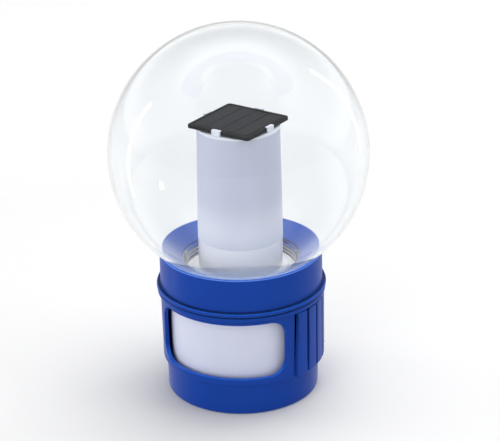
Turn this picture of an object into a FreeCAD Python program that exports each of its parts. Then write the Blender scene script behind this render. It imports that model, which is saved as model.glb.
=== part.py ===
import FreeCAD, Part
import math
import os

os.makedirs("parts", exist_ok=True)

# Floating globe light with a tablet dispenser under it. Lengths are in millimetres, angles in degrees.
# Z is up, and the origin is the centre of the base, on the surface that the light stands on.
# At rest the windows of the turning sleeve face along Y and its grip faces along +X.

# Clear globe
globe_radius = 95.0
globe_wall = 2.0
neck_radius = 43.5
neck_wall = 2.0
neck_length = 12.5
neck_thread_depth = 1.5

# Collar of the dispenser
collar_radius = 60.2
collar_wall = 2.2
collar_bead_reach = 2.8
collar_bead_height = 3.4
collar_bead_round = 1.3
rim_width = 1.3
rim_round = 1.0
ball_gap = 0.35
thread_gap = 0.4
deck_thickness = 3.7
ledge_width = 5.4
guide_length = 6.3
guide_gap = 0.35
canister_ring_height = 5.0
canister_ring_wall = 2.0
canister_ring_gap = 0.1

# Turning sleeve
sleeve_height = 81.0
seam_gap = 0.3
sleeve_wall = 3.0
ring_wall = 2.0
sleeve_taper = 0.7
sleeve_bead_reach = 2.2
sleeve_bead_height = 3.7
sleeve_bead_round = 1.3
step_height = 25.3
step_depth = 2.7
step_round = 0.6
ring_taper = 0.3
foot_width = 5.0
foot_round = 1.8
floor_lift = 4.5
floor_thickness = 2.5
window_sill_band = 4.9
window_head_band = 3.2
window_half_angle = 53.0
window_corner = 13.0
window_count = 2
grip_reach = 2.0
grip_drop = 5.0
grip_pitch_angle = 11.6
grip_count = 5
groove_width = 1.8
groove_depth = 0.5
drain_radius = 1.9
drain_inset = 5.5
drain_count = 6

# Stop that limits the sleeve to its turn
sleeve_turn_angle = 90.0
stop_angle = 45.0
stop_circle_radius = 30.0
stop_radius = 2.0
stop_gap = 0.3

# Tablet canister
water_gap = 3.4
canister_wall = 2.0
canister_taper = 0.5
canister_lift = 0.6
canister_floor = 2.0
canister_round = 3.0
rest_rib_height = 4.4
rest_rib_thickness = 2.0
rest_rib_count = 6
post_radius = 6.0
flow_slot_width = 3.0
flow_slot_rise = 8.7
flow_slot_drop = 11.3
flow_slot_pitch_angle = 9.0
flow_slot_count = 5

# Pivot of the sleeve
boss_radius = 7.0
pivot_gap = 0.25
boss_reach = 0.3
washer_radius = 11.0
washer_thickness = 1.2
washer_hole_gap = 0.2
pivot_screw_radius = 2.0
pivot_screw_grip = 8.0
pivot_head_radius = 4.2
pivot_head_height = 2.2
pilot_gap = 0.05
pilot_tip_gap = 0.5

# Seals
neck_gasket_thickness = 1.2
neck_gasket_inset = 0.4
oring_thickness = 1.9
oring_gap = 0.05
oring_rise = 1.9
cover_gasket_thickness = 1.0

# Base of the light unit
base_flange_inset = 0.5
base_flange_thickness = 1.8
base_gap = 0.3
base_wall = 2.2
base_plug_height = 3.8
foot_ledge = 4.9
foot_height = 3.4
foot_edge_round = 0.8
stem_radius = 31.5
stem_height = 25.2
groove_backing = 3.1
web_rise = 12.3
web_thickness = 2.0
tube_spigot_height = 7.0
tube_spigot_wall = 2.0

# Cover under the base
cover_shoulder = 1.8
cover_gap = 0.2
cover_rim_thickness = 1.4
cover_boss_radius = 3.2
cover_boss_inset = 0.3
cover_screw_radius = 1.2
cover_screw_length = 6.0
cover_screw_head_radius = 2.7
cover_screw_head_depth = 1.5
cover_hole_gap = 0.2
saddle_offset = 15.0
saddle_thickness = 2.5
saddle_width = 9.0
screw_count = 3
screw_start_angle = 90.0

# Battery and its bay
battery_radius = 7.25
battery_length = 49.2
battery_edge_round = 0.6
nub_radius = 2.75
nub_length = 1.3
bay_gap = 0.35
bay_wall = 1.4
bay_skirt = 5.5
contact_thickness = 0.5
contact_width = 10.0
contact_height = 12.0
contact_gap = 0.2
tab_width = 3.0
tab_gap = 0.3

# Switch and button
switch_offset = 20.0
button_radius = 5.0
button_gap = 0.3
button_stand = 1.4
button_travel = 1.5
button_flange_reach = 1.0
button_flange_thickness = 1.2
button_stem_radius = 1.8
button_stem_length = 2.2
button_edge_round = 0.8
switch_wall = 1.1
switch_roof = 0.7
switch_lead_spacing = 4.0
lead_radius = 0.6
lead_hole_gap = 0.6

# Circuit board
board_gap = 0.4
board_thickness = 1.6
standoff_circle_radius = 21.0
standoff_radius = 3.0
standoff_height = 2.5
board_screw_radius = 1.0
board_screw_grip = 3.4
board_screw_head_radius = 2.2
board_screw_head_height = 1.5
chip_side = 7.0
chip_height = 1.2
capacitor_radius = 2.5
capacitor_height = 8.0
capacitor_offset = 14.0
lamp_radius = 2.5
lamp_barrel = 4.6
lamp_flange_reach = 0.4
lamp_flange_height = 1.0
lamp_circle_radius = 12.0
lamp_count = 4
lamp_start_angle = 45.0

# Frosted tube
tube_wall = 1.6
tube_length = 84.5
tube_taper = 1.3

# Panel tray and panel
tray_thickness = 1.5
tray_plug_height = 5.0
tray_plug_wall = 1.6
tray_edge_round = 0.5
lead_port_radius = 2.6
pad_side = 40.0
pad_thickness = 0.8
panel_side = 53.5
panel_thickness = 2.6
panel_corner = 3.0
panel_edge_round = 0.7
panel_yaw = -14.2
cell_recess_depth = 0.3
cell_margin = 3.0
cell_thickness = 0.2
cell_gap = 0.8
cell_count = 4
clip_width = 7.2
clip_thickness = 1.6
clip_gap = 0.25
clip_hook_reach = 1.3
clip_hook_height = 0.8
clip_hook_gap = 0.1
clip_count = 4

# Panel leads: places as shares of the tube's inside radius and of the drop from panel to board
lead_pair_spacing = 1.8
lead_route_shares = [
    (0.0, 0.0, 0.0),
    (0.0, 0.0, 0.22),
    (0.34, 0.14, 0.42),
    (-0.2, -0.22, 0.66),
    (-0.5, 0.0, 0.86),
    (-0.5, 0.0, 1.0),
]
bend_share = 0.45

# Working values
overrun = 1.0
touch = 0.000001
round_limit_share = 0.49
bury_share = 0.5
up = FreeCAD.Vector(0, 0, 1)
centre = FreeCAD.Vector(0, 0, 0)

# Heights, from the ground up
collar_bottom = sleeve_height + seam_gap
ledge_z = collar_bottom + deck_thickness
window_sill = step_height + window_sill_band
window_head = sleeve_height - sleeve_bead_height - window_head_band
grip_top = sleeve_height - grip_drop
flow_slot_bottom = step_height + flow_slot_rise
flow_slot_top = collar_bottom - flow_slot_drop
base_bottom = ledge_z + neck_gasket_thickness
lip_z = base_bottom + base_flange_thickness
globe_centre_z = lip_z + neck_length + math.sqrt(globe_radius**2 - neck_radius**2)
plug_top = lip_z + base_plug_height
foot_top = plug_top + foot_height
stem_top = foot_top + stem_height
tube_top = stem_top + tube_length
disc_top = tube_top + tray_thickness
panel_bottom = disc_top + pad_thickness
panel_top = panel_bottom + panel_thickness
floor_top = floor_lift + floor_thickness
canister_bottom = floor_top + canister_lift
rest_floor = canister_bottom + canister_floor
rest_top = rest_floor + rest_rib_height
boss_end = floor_lift - boss_reach
washer_bottom = boss_end - washer_thickness

# Radii of the dispenser
wall_low_radius = collar_radius - sleeve_taper
ring_top_radius = wall_low_radius - step_depth
ring_low_radius = ring_top_radius - ring_taper
foot_inner_radius = ring_low_radius - foot_width
drain_circle_radius = foot_inner_radius - drain_inset
sleeve_inner_radius = collar_radius - sleeve_wall
guide_radius = sleeve_inner_radius - guide_gap
canister_radius = sleeve_inner_radius - water_gap
canister_low_radius = canister_radius - canister_taper
canister_inner_radius = canister_radius - canister_wall
bore_radius = neck_radius + neck_thread_depth + thread_gap
mouth_radius = bore_radius - ledge_width
hub_hole_radius = boss_radius + pivot_gap

# Radii of the light unit
neck_bore_radius = neck_radius - neck_wall
flange_radius = neck_radius - base_flange_inset
plug_radius = neck_bore_radius - base_gap
groove_floor_radius = neck_bore_radius - oring_thickness - 2 * oring_gap
cavity_radius = groove_floor_radius - groove_backing
recess_radius = cavity_radius + cover_shoulder
foot_radius = plug_radius - foot_ledge
cover_screw_circle_radius = foot_radius - cover_boss_inset - cover_boss_radius
stem_inner_radius = stem_radius - base_wall
tube_inner_radius = stem_radius - tube_wall
tube_spigot_radius = tube_inner_radius - base_gap
stem_bore_radius = tube_spigot_radius - tube_spigot_wall
tube_top_radius = stem_radius - tube_taper

# Heights inside the light base
shoulder_z = base_bottom + cover_rim_thickness + cover_gasket_thickness
web_bottom = foot_top + web_rise
web_top = web_bottom + web_thickness
board_bottom = web_top + standoff_height
board_top = board_bottom + board_thickness
board_radius = stem_bore_radius - board_gap
battery_z = web_bottom - bay_gap - battery_radius
battery_half = (battery_length + nub_length) / 2
contact_x = battery_half + contact_gap
bay_x = contact_x + contact_thickness + contact_gap
bay_y = battery_radius + bay_gap

# Heights of the button in its switch
flange_low = shoulder_z + button_gap
flange_high = flange_low + button_flange_thickness
recess_top = flange_high + button_travel + button_gap
stem_high = flange_high + button_stem_length
bore_top = stem_high + button_travel + button_gap
switch_top = bore_top + switch_roof
switch_recess_radius = button_radius + button_flange_reach + 2 * button_gap
switch_half = switch_recess_radius + switch_wall


def flat(r, z):
    """Point of a section, at a radius and a height."""
    return FreeCAD.Vector(r, 0, z)


def section(outline):
    """Face in the XZ plane. A step is (r, z), (r, z, round), or ("by", r, z) for an arc to the next step."""
    corners = []
    bows = {}
    for step in outline:
        if step[0] == "by":
            bows[len(corners) - 1] = flat(step[1], step[2])
        else:
            corners.append(step)
    count = len(corners)
    entries = []
    for i, corner in enumerate(corners):
        here = flat(corner[0], corner[1])
        if len(corner) < 3:
            entries.append((here, None, here))
            continue
        before = corners[i - 1]
        after = corners[(i + 1) % count]
        back = flat(before[0], before[1]) - here
        on = flat(after[0], after[1]) - here
        half_turn = back.getAngle(on) / 2
        limit = min(back.Length, on.Length) * round_limit_share
        reach = min(corner[2] / math.tan(half_turn), limit)
        radius = reach * math.tan(half_turn)
        back.normalize()
        on.normalize()
        inward = back + on
        inward.normalize()
        middle = here + inward * (radius / math.sin(half_turn) - radius)
        entries.append((here + back * reach, middle, here + on * reach))
    edges = []
    for i, (first, middle, last) in enumerate(entries):
        if middle is not None:
            edges.append(Part.Arc(first, middle, last).toShape())
        nearest = entries[(i + 1) % count][0]
        if i in bows:
            edges.append(Part.Arc(last, bows[i], nearest).toShape())
        elif not last.isEqual(nearest, touch):
            edges.append(Part.LineSegment(last, nearest).toShape())
    return Part.Face(Part.Wire(edges))


def turned(outline, angle=None):
    """Solid turned about Z from a section: all the way round, or by an angle centred on +X."""
    face = section(outline)
    if angle is None:
        return face.revolve(centre, up, 360)
    face.rotate(centre, up, -angle / 2)
    return face.revolve(centre, up, angle)


def rod(radius, low, high, x=0, y=0):
    """Upright cylinder between two heights."""
    return Part.makeCylinder(radius, high - low, FreeCAD.Vector(x, y, low))


def cone(low_radius, high_radius, low, high, x=0, y=0):
    """Upright cone between two heights."""
    return Part.makeCone(low_radius, high_radius, high - low, FreeCAD.Vector(x, y, low))


def block(x_low, x_high, y_low, y_high, z_low, z_high):
    """Box between two corners."""
    corner = FreeCAD.Vector(x_low, y_low, z_low)
    return Part.makeBox(x_high - x_low, y_high - y_low, z_high - z_low, corner)


def spun(shape, angle):
    """Copy of a shape, turned about Z."""
    copy = shape.copy()
    copy.rotate(centre, up, angle)
    return copy


def ring_of(shape, count, start=0.0):
    """Copies of a shape at even steps about Z."""
    return [spun(shape, start + i * 360 / count) for i in range(count)]


def band(inner, outer, low, high, angle=None):
    """Ring, or a stretch of one, with a plain rectangular section."""
    return turned([(inner, low), (outer, low), (outer, high), (inner, high)], angle)


def on_sphere(radius, r):
    """Height of the lower half of a sphere about the globe's centre, at a distance from the axis."""
    return globe_centre_z - math.sqrt(radius**2 - r**2)


def rounded_square(side, corner, low, high):
    """Square plate with round corners, centred on the axis."""
    plate = block(-side / 2, side / 2, -side / 2, side / 2, low, high)
    upright = [e for e in plate.Edges if e.BoundBox.ZLength > (high - low) / 2]
    return plate.makeFillet(corner, upright)


def globe():
    """Clear ball with its neck, open at the bottom."""
    outside = Part.makeSphere(globe_radius, flat(0, globe_centre_z))
    outside = outside.fuse(rod(neck_radius, lip_z, globe_centre_z))
    inside = Part.makeSphere(globe_radius - globe_wall, flat(0, globe_centre_z))
    inside = inside.fuse(rod(neck_bore_radius, lip_z - overrun, globe_centre_z))
    return outside.cut(inside).removeSplitter()


def collar():
    """Ring with the dish under the ball, the threaded mouth, the bead and the guide inside the sleeve."""
    dish = globe_radius + ball_gap
    under = dish + collar_wall
    rim_inner = collar_radius - rim_width
    rim_z = on_sphere(dish, rim_inner)
    skirt_inner = collar_radius - collar_wall
    tube_outer = bore_radius + collar_wall
    guide_inner = guide_radius - collar_wall
    ring_outer = canister_inner_radius - canister_ring_gap
    ring_inner = ring_outer - canister_ring_wall
    ring_low = collar_bottom - canister_ring_height
    shelf_z = collar_bottom + collar_wall
    bead_radius = collar_radius + collar_bead_reach
    bead_top = collar_bottom + collar_bead_height
    dish_middle = (bore_radius + rim_inner) / 2
    under_middle = (tube_outer + skirt_inner) / 2
    return turned([
        (mouth_radius, collar_bottom),
        (ring_inner, collar_bottom),
        (ring_inner, ring_low),
        (ring_outer, ring_low),
        (ring_outer, collar_bottom),
        (canister_radius, collar_bottom),
        (canister_radius, shelf_z),
        (tube_outer, shelf_z),
        (tube_outer, on_sphere(under, tube_outer)),
        ("by", under_middle, on_sphere(under, under_middle)),
        (skirt_inner, on_sphere(under, skirt_inner)),
        (skirt_inner, shelf_z),
        (guide_inner, shelf_z),
        (guide_inner, collar_bottom - guide_length),
        (guide_radius, collar_bottom - guide_length),
        (guide_radius, collar_bottom),
        (bead_radius, collar_bottom, collar_bead_round),
        (bead_radius, bead_top, collar_bead_round),
        (collar_radius, bead_top),
        (collar_radius, rim_z, rim_round),
        (rim_inner, rim_z),
        ("by", dish_middle, on_sphere(dish, dish_middle)),
        (bore_radius, on_sphere(dish, bore_radius)),
        (bore_radius, ledge_z),
        (mouth_radius, ledge_z),
    ])


def window():
    """Cutter of one window, centred on +X, with its sides along radii of the sleeve."""
    far = collar_radius + grip_reach + overrun
    near = sleeve_inner_radius - sleeve_taper - overrun
    opening = band(near, far, window_sill, window_head, 2 * window_half_angle)
    sides = [e for e in opening.Edges if e.Curve.TypeId == "Part::GeomLine" and e.BoundBox.ZLength < overrun]
    return opening.makeFillet(window_corner, sides)


def grips(body):
    """Adds the raised ribs of the grip to one pillar of the sleeve."""
    grip_radius = wall_low_radius + grip_reach
    root_radius = wall_low_radius - sleeve_wall * bury_share
    spread = grip_count * grip_pitch_angle
    pad = band(root_radius, grip_radius, step_height, grip_top, spread)
    groove_floor = wall_low_radius - groove_depth
    groove = block(groove_floor, grip_radius + overrun, -groove_width / 2, groove_width / 2,
                   step_height - overrun, grip_top)
    body = body.fuse(pad)
    for i in range(grip_count + 1):
        body = body.cut(spun(groove, i * grip_pitch_angle - spread / 2))
    return body


def stop_slot():
    """Arc slot in the sleeve's floor, as long as the turn of the sleeve, for the canister's stop peg."""
    half = stop_radius + stop_gap
    low = floor_lift - overrun
    high = floor_top + overrun
    slot = band(stop_circle_radius - half, stop_circle_radius + half, low, high, sleeve_turn_angle)
    slot = spun(slot, stop_angle - sleeve_turn_angle / 2)
    end = rod(half, low, high, stop_circle_radius)
    return slot.fuse([spun(end, stop_angle), spun(end, stop_angle - sleeve_turn_angle)])


def outer_sleeve():
    """Turning sleeve: foot ring, lower ring, windowed wall with grips, top bead and floor."""
    bead_radius = collar_radius + sleeve_bead_reach
    bead_bottom = sleeve_height - sleeve_bead_height
    ring_inner_top = ring_top_radius - ring_wall
    ring_inner_low = ring_low_radius - ring_wall
    body = turned([
        (foot_inner_radius, 0),
        (ring_low_radius, 0, foot_round),
        (ring_top_radius, step_height),
        (wall_low_radius, step_height, step_round),
        (collar_radius, bead_bottom),
        (bead_radius, bead_bottom, sleeve_bead_round),
        (bead_radius, sleeve_height, sleeve_bead_round),
        (sleeve_inner_radius, sleeve_height),
        (sleeve_inner_radius - sleeve_taper, step_height + sleeve_wall),
        (ring_inner_top, step_height + sleeve_wall),
        (ring_inner_low, floor_top),
        (hub_hole_radius, floor_top),
        (hub_hole_radius, floor_lift),
        (foot_inner_radius, floor_lift),
    ])
    body = grips(body)
    body = body.cut(ring_of(window(), window_count, 90))
    body = body.cut(stop_slot())
    drain = rod(drain_radius, floor_lift - overrun, floor_top + overrun, drain_circle_radius)
    return body.cut(ring_of(drain, drain_count)).removeSplitter()


def flow_slot():
    """Cutter of one upright slot with round ends, through the canister's wall on +X."""
    half = flow_slot_width / 2
    near = canister_low_radius - canister_wall - overrun
    far = canister_radius + overrun
    slot = block(near, far, -half, half, flow_slot_bottom + half, flow_slot_top - half)
    for end in (flow_slot_bottom + half, flow_slot_top - half):
        slot = slot.fuse(Part.makeCylinder(half, far - near, flat(near, end), FreeCAD.Vector(1, 0, 0)))
    return slot


def canister():
    """Tablet chamber, with rest ribs, flow slots behind the pillars, the pivot boss and the stop peg."""
    pilot_radius = pivot_screw_radius + pilot_gap
    pilot_top = boss_end + pivot_screw_grip + pilot_tip_gap
    body = turned([
        (pilot_radius, boss_end),
        (boss_radius, boss_end),
        (boss_radius, canister_bottom),
        (canister_low_radius, canister_bottom, canister_round),
        (canister_radius, collar_bottom),
        (canister_inner_radius, collar_bottom),
        (canister_low_radius - canister_wall, rest_floor, canister_wall),
        (post_radius, rest_floor),
        (post_radius, rest_top),
        (0, rest_top),
        (0, pilot_top),
        (pilot_radius, pilot_top),
    ])
    half = rest_rib_thickness / 2
    rib_end = canister_low_radius - canister_wall * bury_share
    rib_low = rest_floor - canister_floor * bury_share
    rib = block(post_radius * bury_share, rib_end, -half, half, rib_low, rest_top)
    body = body.fuse(ring_of(rib, rest_rib_count))
    peg_top = canister_bottom + canister_floor * bury_share
    peg = rod(stop_radius, floor_lift + stop_gap, peg_top, stop_circle_radius)
    body = body.fuse(spun(peg, stop_angle))
    middle = (flow_slot_count - 1) / 2
    angles = [(i - middle) * flow_slot_pitch_angle for i in range(flow_slot_count)]
    for side in (0, 180):
        body = body.cut([spun(flow_slot(), side + angle) for angle in angles])
    return body.removeSplitter()


def pivot_screw():
    """Screw that holds the sleeve's floor up under the canister."""
    head_bottom = washer_bottom - pivot_head_height
    return turned([
        (0, head_bottom),
        (pivot_head_radius, head_bottom, pivot_head_height / 2),
        (pivot_head_radius, washer_bottom),
        (pivot_screw_radius, washer_bottom),
        (pivot_screw_radius, boss_end + pivot_screw_grip),
        (0, boss_end + pivot_screw_grip),
    ])


def pivot_washer():
    """Washer between the screw's head and the boss, under the sleeve's floor."""
    return band(pivot_screw_radius + washer_hole_gap, washer_radius, washer_bottom, boss_end)


def neck_gasket():
    """Flat seal between the ledge in the collar and the flange of the light base."""
    return band(mouth_radius + neck_gasket_inset, flange_radius, ledge_z, base_bottom)


def base_oring():
    """Round seal in the groove of the light base, against the bore of the neck."""
    radius = oring_thickness / 2
    middle = groove_floor_radius + oring_gap + radius
    return Part.makeTorus(middle, radius, flat(0, lip_z + oring_rise), up)


def light_base():
    """Base of the light unit: flange under the neck, plug in its bore, foot, stem and battery bay."""
    groove_half = oring_thickness / 2 + oring_gap
    groove_z = lip_z + oring_rise
    body = turned([
        (recess_radius, base_bottom),
        (flange_radius, base_bottom),
        (flange_radius, lip_z),
        (plug_radius, lip_z),
        (plug_radius, groove_z - groove_half),
        (groove_floor_radius, groove_z - groove_half),
        (groove_floor_radius, groove_z + groove_half),
        (plug_radius, groove_z + groove_half),
        (plug_radius, plug_top),
        (foot_radius, plug_top),
        (foot_radius, foot_top, foot_edge_round),
        (stem_radius, foot_top),
        (stem_radius, stem_top),
        (tube_spigot_radius, stem_top),
        (tube_spigot_radius, stem_top + tube_spigot_height),
        (stem_bore_radius, stem_top + tube_spigot_height),
        (stem_bore_radius, web_top),
        (0, web_top),
        (0, web_bottom),
        (stem_inner_radius, web_bottom),
        (stem_inner_radius, foot_top - base_wall),
        (foot_radius - base_wall, foot_top - base_wall),
        (foot_radius - base_wall, plug_top - base_wall),
        (cavity_radius, plug_top - base_wall),
        (cavity_radius, shoulder_z),
        (recess_radius, shoulder_z),
    ])
    return body.fuse(bay_walls() + base_bosses()).cut(base_holes()).removeSplitter()


def bay_walls():
    """Walls of the battery bay, hanging from the web of the light base."""
    low = battery_z - bay_skirt
    high = web_bottom + web_thickness * bury_share
    outer_x = bay_x + bay_wall
    outer_y = bay_y + bay_wall
    walls = []
    for side in (0, 180):
        walls.append(spun(block(-outer_x, outer_x, bay_y, outer_y, low, high), side))
        walls.append(spun(block(bay_x, outer_x, -outer_y, outer_y, low, high), side))
    return walls


def base_bosses():
    """Bosses for the cover's screws, and standoffs for the board's screws."""
    boss = rod(cover_boss_radius, shoulder_z, foot_top - base_wall * bury_share, cover_screw_circle_radius)
    standoff_low = web_top - web_thickness * bury_share
    standoff = rod(standoff_radius, standoff_low, board_bottom, standoff_circle_radius)
    return ring_of(boss, screw_count, screw_start_angle) + ring_of(standoff, screw_count, screw_start_angle)


def base_holes():
    """Pilot holes, and the openings of the web for the contact tabs and the switch leads."""
    screw_end = base_bottom + cover_screw_length + pilot_tip_gap
    pilot_radius = cover_screw_radius + pilot_gap
    pilot = rod(pilot_radius, shoulder_z - overrun, screw_end, cover_screw_circle_radius)
    board_end = board_bottom - board_screw_grip - pilot_tip_gap
    board_pilot_radius = board_screw_radius + pilot_gap
    board_pilot = rod(board_pilot_radius, board_end, board_bottom + overrun, standoff_circle_radius)
    low = web_bottom - overrun
    high = web_top + overrun
    tab_half = tab_width / 2 + tab_gap
    tab_far = contact_x + contact_thickness + tab_gap
    tab_slot = block(contact_x - tab_gap, tab_far, -tab_half, tab_half, low, high)
    holes = ring_of(pilot, screw_count, screw_start_angle)
    holes += ring_of(board_pilot, screw_count, screw_start_angle)
    holes += ring_of(tab_slot, 2)
    for x in (-switch_lead_spacing / 2, switch_lead_spacing / 2):
        holes.append(rod(lead_radius + lead_hole_gap, low, high, x, -switch_offset))
    return holes


def base_cover():
    """Cover of the battery bay, with battery saddles, the button's hole and three countersunk holes."""
    body = turned([
        (0, base_bottom),
        (recess_radius - cover_gap, base_bottom),
        (recess_radius - cover_gap, base_bottom + cover_rim_thickness),
        (cavity_radius - cover_gap, base_bottom + cover_rim_thickness),
        (cavity_radius - cover_gap, shoulder_z),
        (0, shoulder_z),
    ])
    saddle = block(saddle_offset - saddle_thickness / 2, saddle_offset + saddle_thickness / 2,
                   -saddle_width / 2, saddle_width / 2,
                   shoulder_z - cover_rim_thickness * bury_share, battery_z - battery_radius - bay_gap)
    body = body.fuse(ring_of(saddle, 2))
    hole_radius = cover_screw_radius + cover_hole_gap
    hole = rod(hole_radius, base_bottom - overrun, shoulder_z + overrun, cover_screw_circle_radius)
    sink = cone(cover_screw_head_radius + cover_hole_gap, hole_radius,
                base_bottom, base_bottom + cover_screw_head_depth, cover_screw_circle_radius)
    body = body.cut(ring_of(hole.fuse(sink), screw_count, screw_start_angle))
    port = rod(button_radius + button_gap, base_bottom - overrun, shoulder_z + overrun, 0, -switch_offset)
    return body.cut(port).removeSplitter()


def cover_gasket():
    """Flat seal between the cover's rim and the shoulder in the base."""
    inner = cavity_radius + cover_gap
    return band(inner, recess_radius - cover_gap, base_bottom + cover_rim_thickness, shoulder_z)


def cover_screws():
    """Three countersunk screws of the cover."""
    screw = turned([
        (0, base_bottom),
        (cover_screw_head_radius, base_bottom),
        (cover_screw_radius, base_bottom + cover_screw_head_depth),
        (cover_screw_radius, base_bottom + cover_screw_length),
        (0, base_bottom + cover_screw_length),
    ])
    screw.translate(FreeCAD.Vector(cover_screw_circle_radius, 0, 0))
    return Part.makeCompound(ring_of(screw, screw_count, screw_start_angle))


def battery():
    """Round cell lying along X, with its raised pole towards +X."""
    cell = turned([
        (0, -battery_half),
        (battery_radius, -battery_half, battery_edge_round),
        (battery_radius, battery_half - nub_length, battery_edge_round),
        (nub_radius, battery_half - nub_length),
        (nub_radius, battery_half),
        (0, battery_half),
    ])
    cell.rotate(centre, FreeCAD.Vector(0, 1, 0), 90)
    cell.translate(flat(0, battery_z))
    return cell


def battery_contacts():
    """Two sprung metal strips at the ends of the bay, with tabs up to the board."""
    half = contact_width / 2
    low = battery_z - contact_height / 2
    high = battery_z + contact_height / 2
    strip = block(contact_x, contact_x + contact_thickness, -half, half, low, high)
    tab = block(contact_x, contact_x + contact_thickness, -tab_width / 2, tab_width / 2, high, board_bottom)
    return Part.makeCompound(ring_of(strip.fuse(tab).removeSplitter(), 2))


def switch_body():
    """Square switch seated on the cover, over the button."""
    body = block(-switch_half, switch_half, -switch_half, switch_half, shoulder_z, switch_top)
    body = body.cut(rod(switch_recess_radius, shoulder_z - overrun, recess_top))
    body = body.cut(rod(button_stem_radius + button_gap, recess_top - overrun, bore_top))
    body.translate(FreeCAD.Vector(0, -switch_offset, 0))
    return body


def power_button():
    """Round button with a flange behind the cover and a stem into the switch."""
    low = base_bottom - button_stand
    button = turned([
        (0, low),
        (button_radius, low, button_edge_round),
        (button_radius, flange_low),
        (button_radius + button_flange_reach, flange_low),
        (button_radius + button_flange_reach, flange_high),
        (button_stem_radius, flange_high),
        (button_stem_radius, stem_high),
        (0, stem_high),
    ])
    button.translate(FreeCAD.Vector(0, -switch_offset, 0))
    return button


def switch_leads():
    """Two leads from the switch up to the board."""
    places = (-switch_lead_spacing / 2, switch_lead_spacing / 2)
    return Part.makeCompound([rod(lead_radius, switch_top, board_bottom, x, -switch_offset) for x in places])


def circuit_board():
    """Round board on the standoffs of the base."""
    board = rod(board_radius, board_bottom, board_top)
    hole_radius = board_screw_radius + pilot_gap
    hole = rod(hole_radius, board_bottom - overrun, board_top + overrun, standoff_circle_radius)
    return board.cut(ring_of(hole, screw_count, screw_start_angle))


def board_screws():
    """Three screws of the board."""
    screw = turned([
        (0, board_bottom - board_screw_grip),
        (board_screw_radius, board_bottom - board_screw_grip),
        (board_screw_radius, board_top),
        (board_screw_head_radius, board_top),
        (board_screw_head_radius, board_top + board_screw_head_height),
        (0, board_top + board_screw_head_height),
    ])
    screw.translate(FreeCAD.Vector(standoff_circle_radius, 0, 0))
    return Part.makeCompound(ring_of(screw, screw_count, screw_start_angle))


def board_parts():
    """Controller chip and capacitor on the board."""
    half = chip_side / 2
    chip = block(-half, half, -half, half, board_top, board_top + chip_height)
    capacitor = rod(capacitor_radius, board_top, board_top + capacitor_height, capacitor_offset)
    return Part.makeCompound([chip, capacitor])


def led_lamps():
    """Four domed lamps that shine up the tube."""
    flange = lamp_radius + lamp_flange_reach
    dome_z = board_top + lamp_barrel
    lean = lamp_radius * math.sqrt(1 / 2)
    lamp = turned([
        (0, board_top),
        (flange, board_top),
        (flange, board_top + lamp_flange_height),
        (lamp_radius, board_top + lamp_flange_height),
        (lamp_radius, dome_z),
        ("by", lean, dome_z + lean),
        (0, dome_z + lamp_radius),
    ])
    lamp.translate(FreeCAD.Vector(lamp_circle_radius, 0, 0))
    return Part.makeCompound(ring_of(lamp, lamp_count, lamp_start_angle))


def diffuser_tube():
    """Frosted tube, narrowing a little towards the top."""
    return turned([
        (tube_inner_radius, stem_top),
        (stem_radius, stem_top),
        (tube_top_radius, tube_top),
        (tube_top_radius - tube_wall, tube_top),
    ])


def panel_tray():
    """Cap of the tube, with a plug inside it and four clips over the panel's edges."""
    plug_outer = tube_top_radius - tube_wall - base_gap
    body = turned([
        (lead_port_radius, tube_top),
        (plug_outer - tray_plug_wall, tube_top),
        (plug_outer - tray_plug_wall, tube_top - tray_plug_height),
        (plug_outer, tube_top - tray_plug_height),
        (plug_outer, tube_top),
        (tube_top_radius, tube_top),
        (tube_top_radius, disc_top, tray_edge_round),
        (lead_port_radius, disc_top),
    ])
    near = panel_side / 2 + clip_gap
    hook_low = panel_top + clip_hook_gap
    hook_high = hook_low + clip_hook_height
    half = clip_width / 2
    root = disc_top - tray_thickness * bury_share
    post = block(near, near + clip_thickness, -half, half, root, hook_high)
    hook = block(near - clip_hook_reach, near, -half, half, hook_low, hook_high)
    clip = post.fuse(hook).removeSplitter()
    return body.fuse(ring_of(clip, clip_count, panel_yaw)).removeSplitter()


def panel_pad():
    """Foam square under the panel."""
    pad = block(-pad_side / 2, pad_side / 2, -pad_side / 2, pad_side / 2, disc_top, panel_bottom)
    return spun(pad.cut(rod(lead_port_radius, disc_top - overrun, panel_bottom + overrun)), panel_yaw)


def solar_panel():
    """Dark square panel with round corners and a shallow recess for its cells."""
    plate = rounded_square(panel_side, panel_corner, panel_bottom, panel_top)
    rim = [e for e in plate.Edges if e.BoundBox.ZMin > (panel_bottom + panel_top) / 2]
    plate = plate.makeFillet(panel_edge_round, rim)
    inner = panel_side / 2 - cell_margin
    recess = block(-inner, inner, -inner, inner, panel_top - cell_recess_depth, panel_top + overrun)
    return spun(plate.cut(recess), panel_yaw)


def solar_cells():
    """Strips of cells in the recess of the panel."""
    low = panel_top - cell_recess_depth
    length = panel_side - 2 * (cell_margin + cell_gap)
    pitch = (length + cell_gap) / cell_count
    cells = []
    for i in range(cell_count):
        x = -length / 2 + i * pitch
        cell = block(x, x + pitch - cell_gap, -length / 2, length / 2, low, low + cell_thickness)
        cells.append(spun(cell, panel_yaw))
    return Part.makeCompound(cells)


def bent_path(points):
    """Straight runs through the points, joined by tangent arcs as large as the runs allow."""
    edges = []
    last = points[0]
    for before, corner, after in zip(points, points[1:], points[2:]):
        back = before - corner
        on = after - corner
        reach = min(back.Length, on.Length) * bend_share
        half_turn = back.getAngle(on) / 2
        radius = reach * math.tan(half_turn)
        print("bend radius", round(radius, 1))
        back.normalize()
        on.normalize()
        inward = back + on
        inward.normalize()
        first = corner + back * reach
        middle = corner + inward * (radius / math.sin(half_turn) - radius)
        edges.append(Part.LineSegment(last, first).toShape())
        last = corner + on * reach
        edges.append(Part.Arc(first, middle, last).toShape())
    edges.append(Part.LineSegment(last, points[-1]).toShape())
    return Part.Wire(edges)


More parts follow.
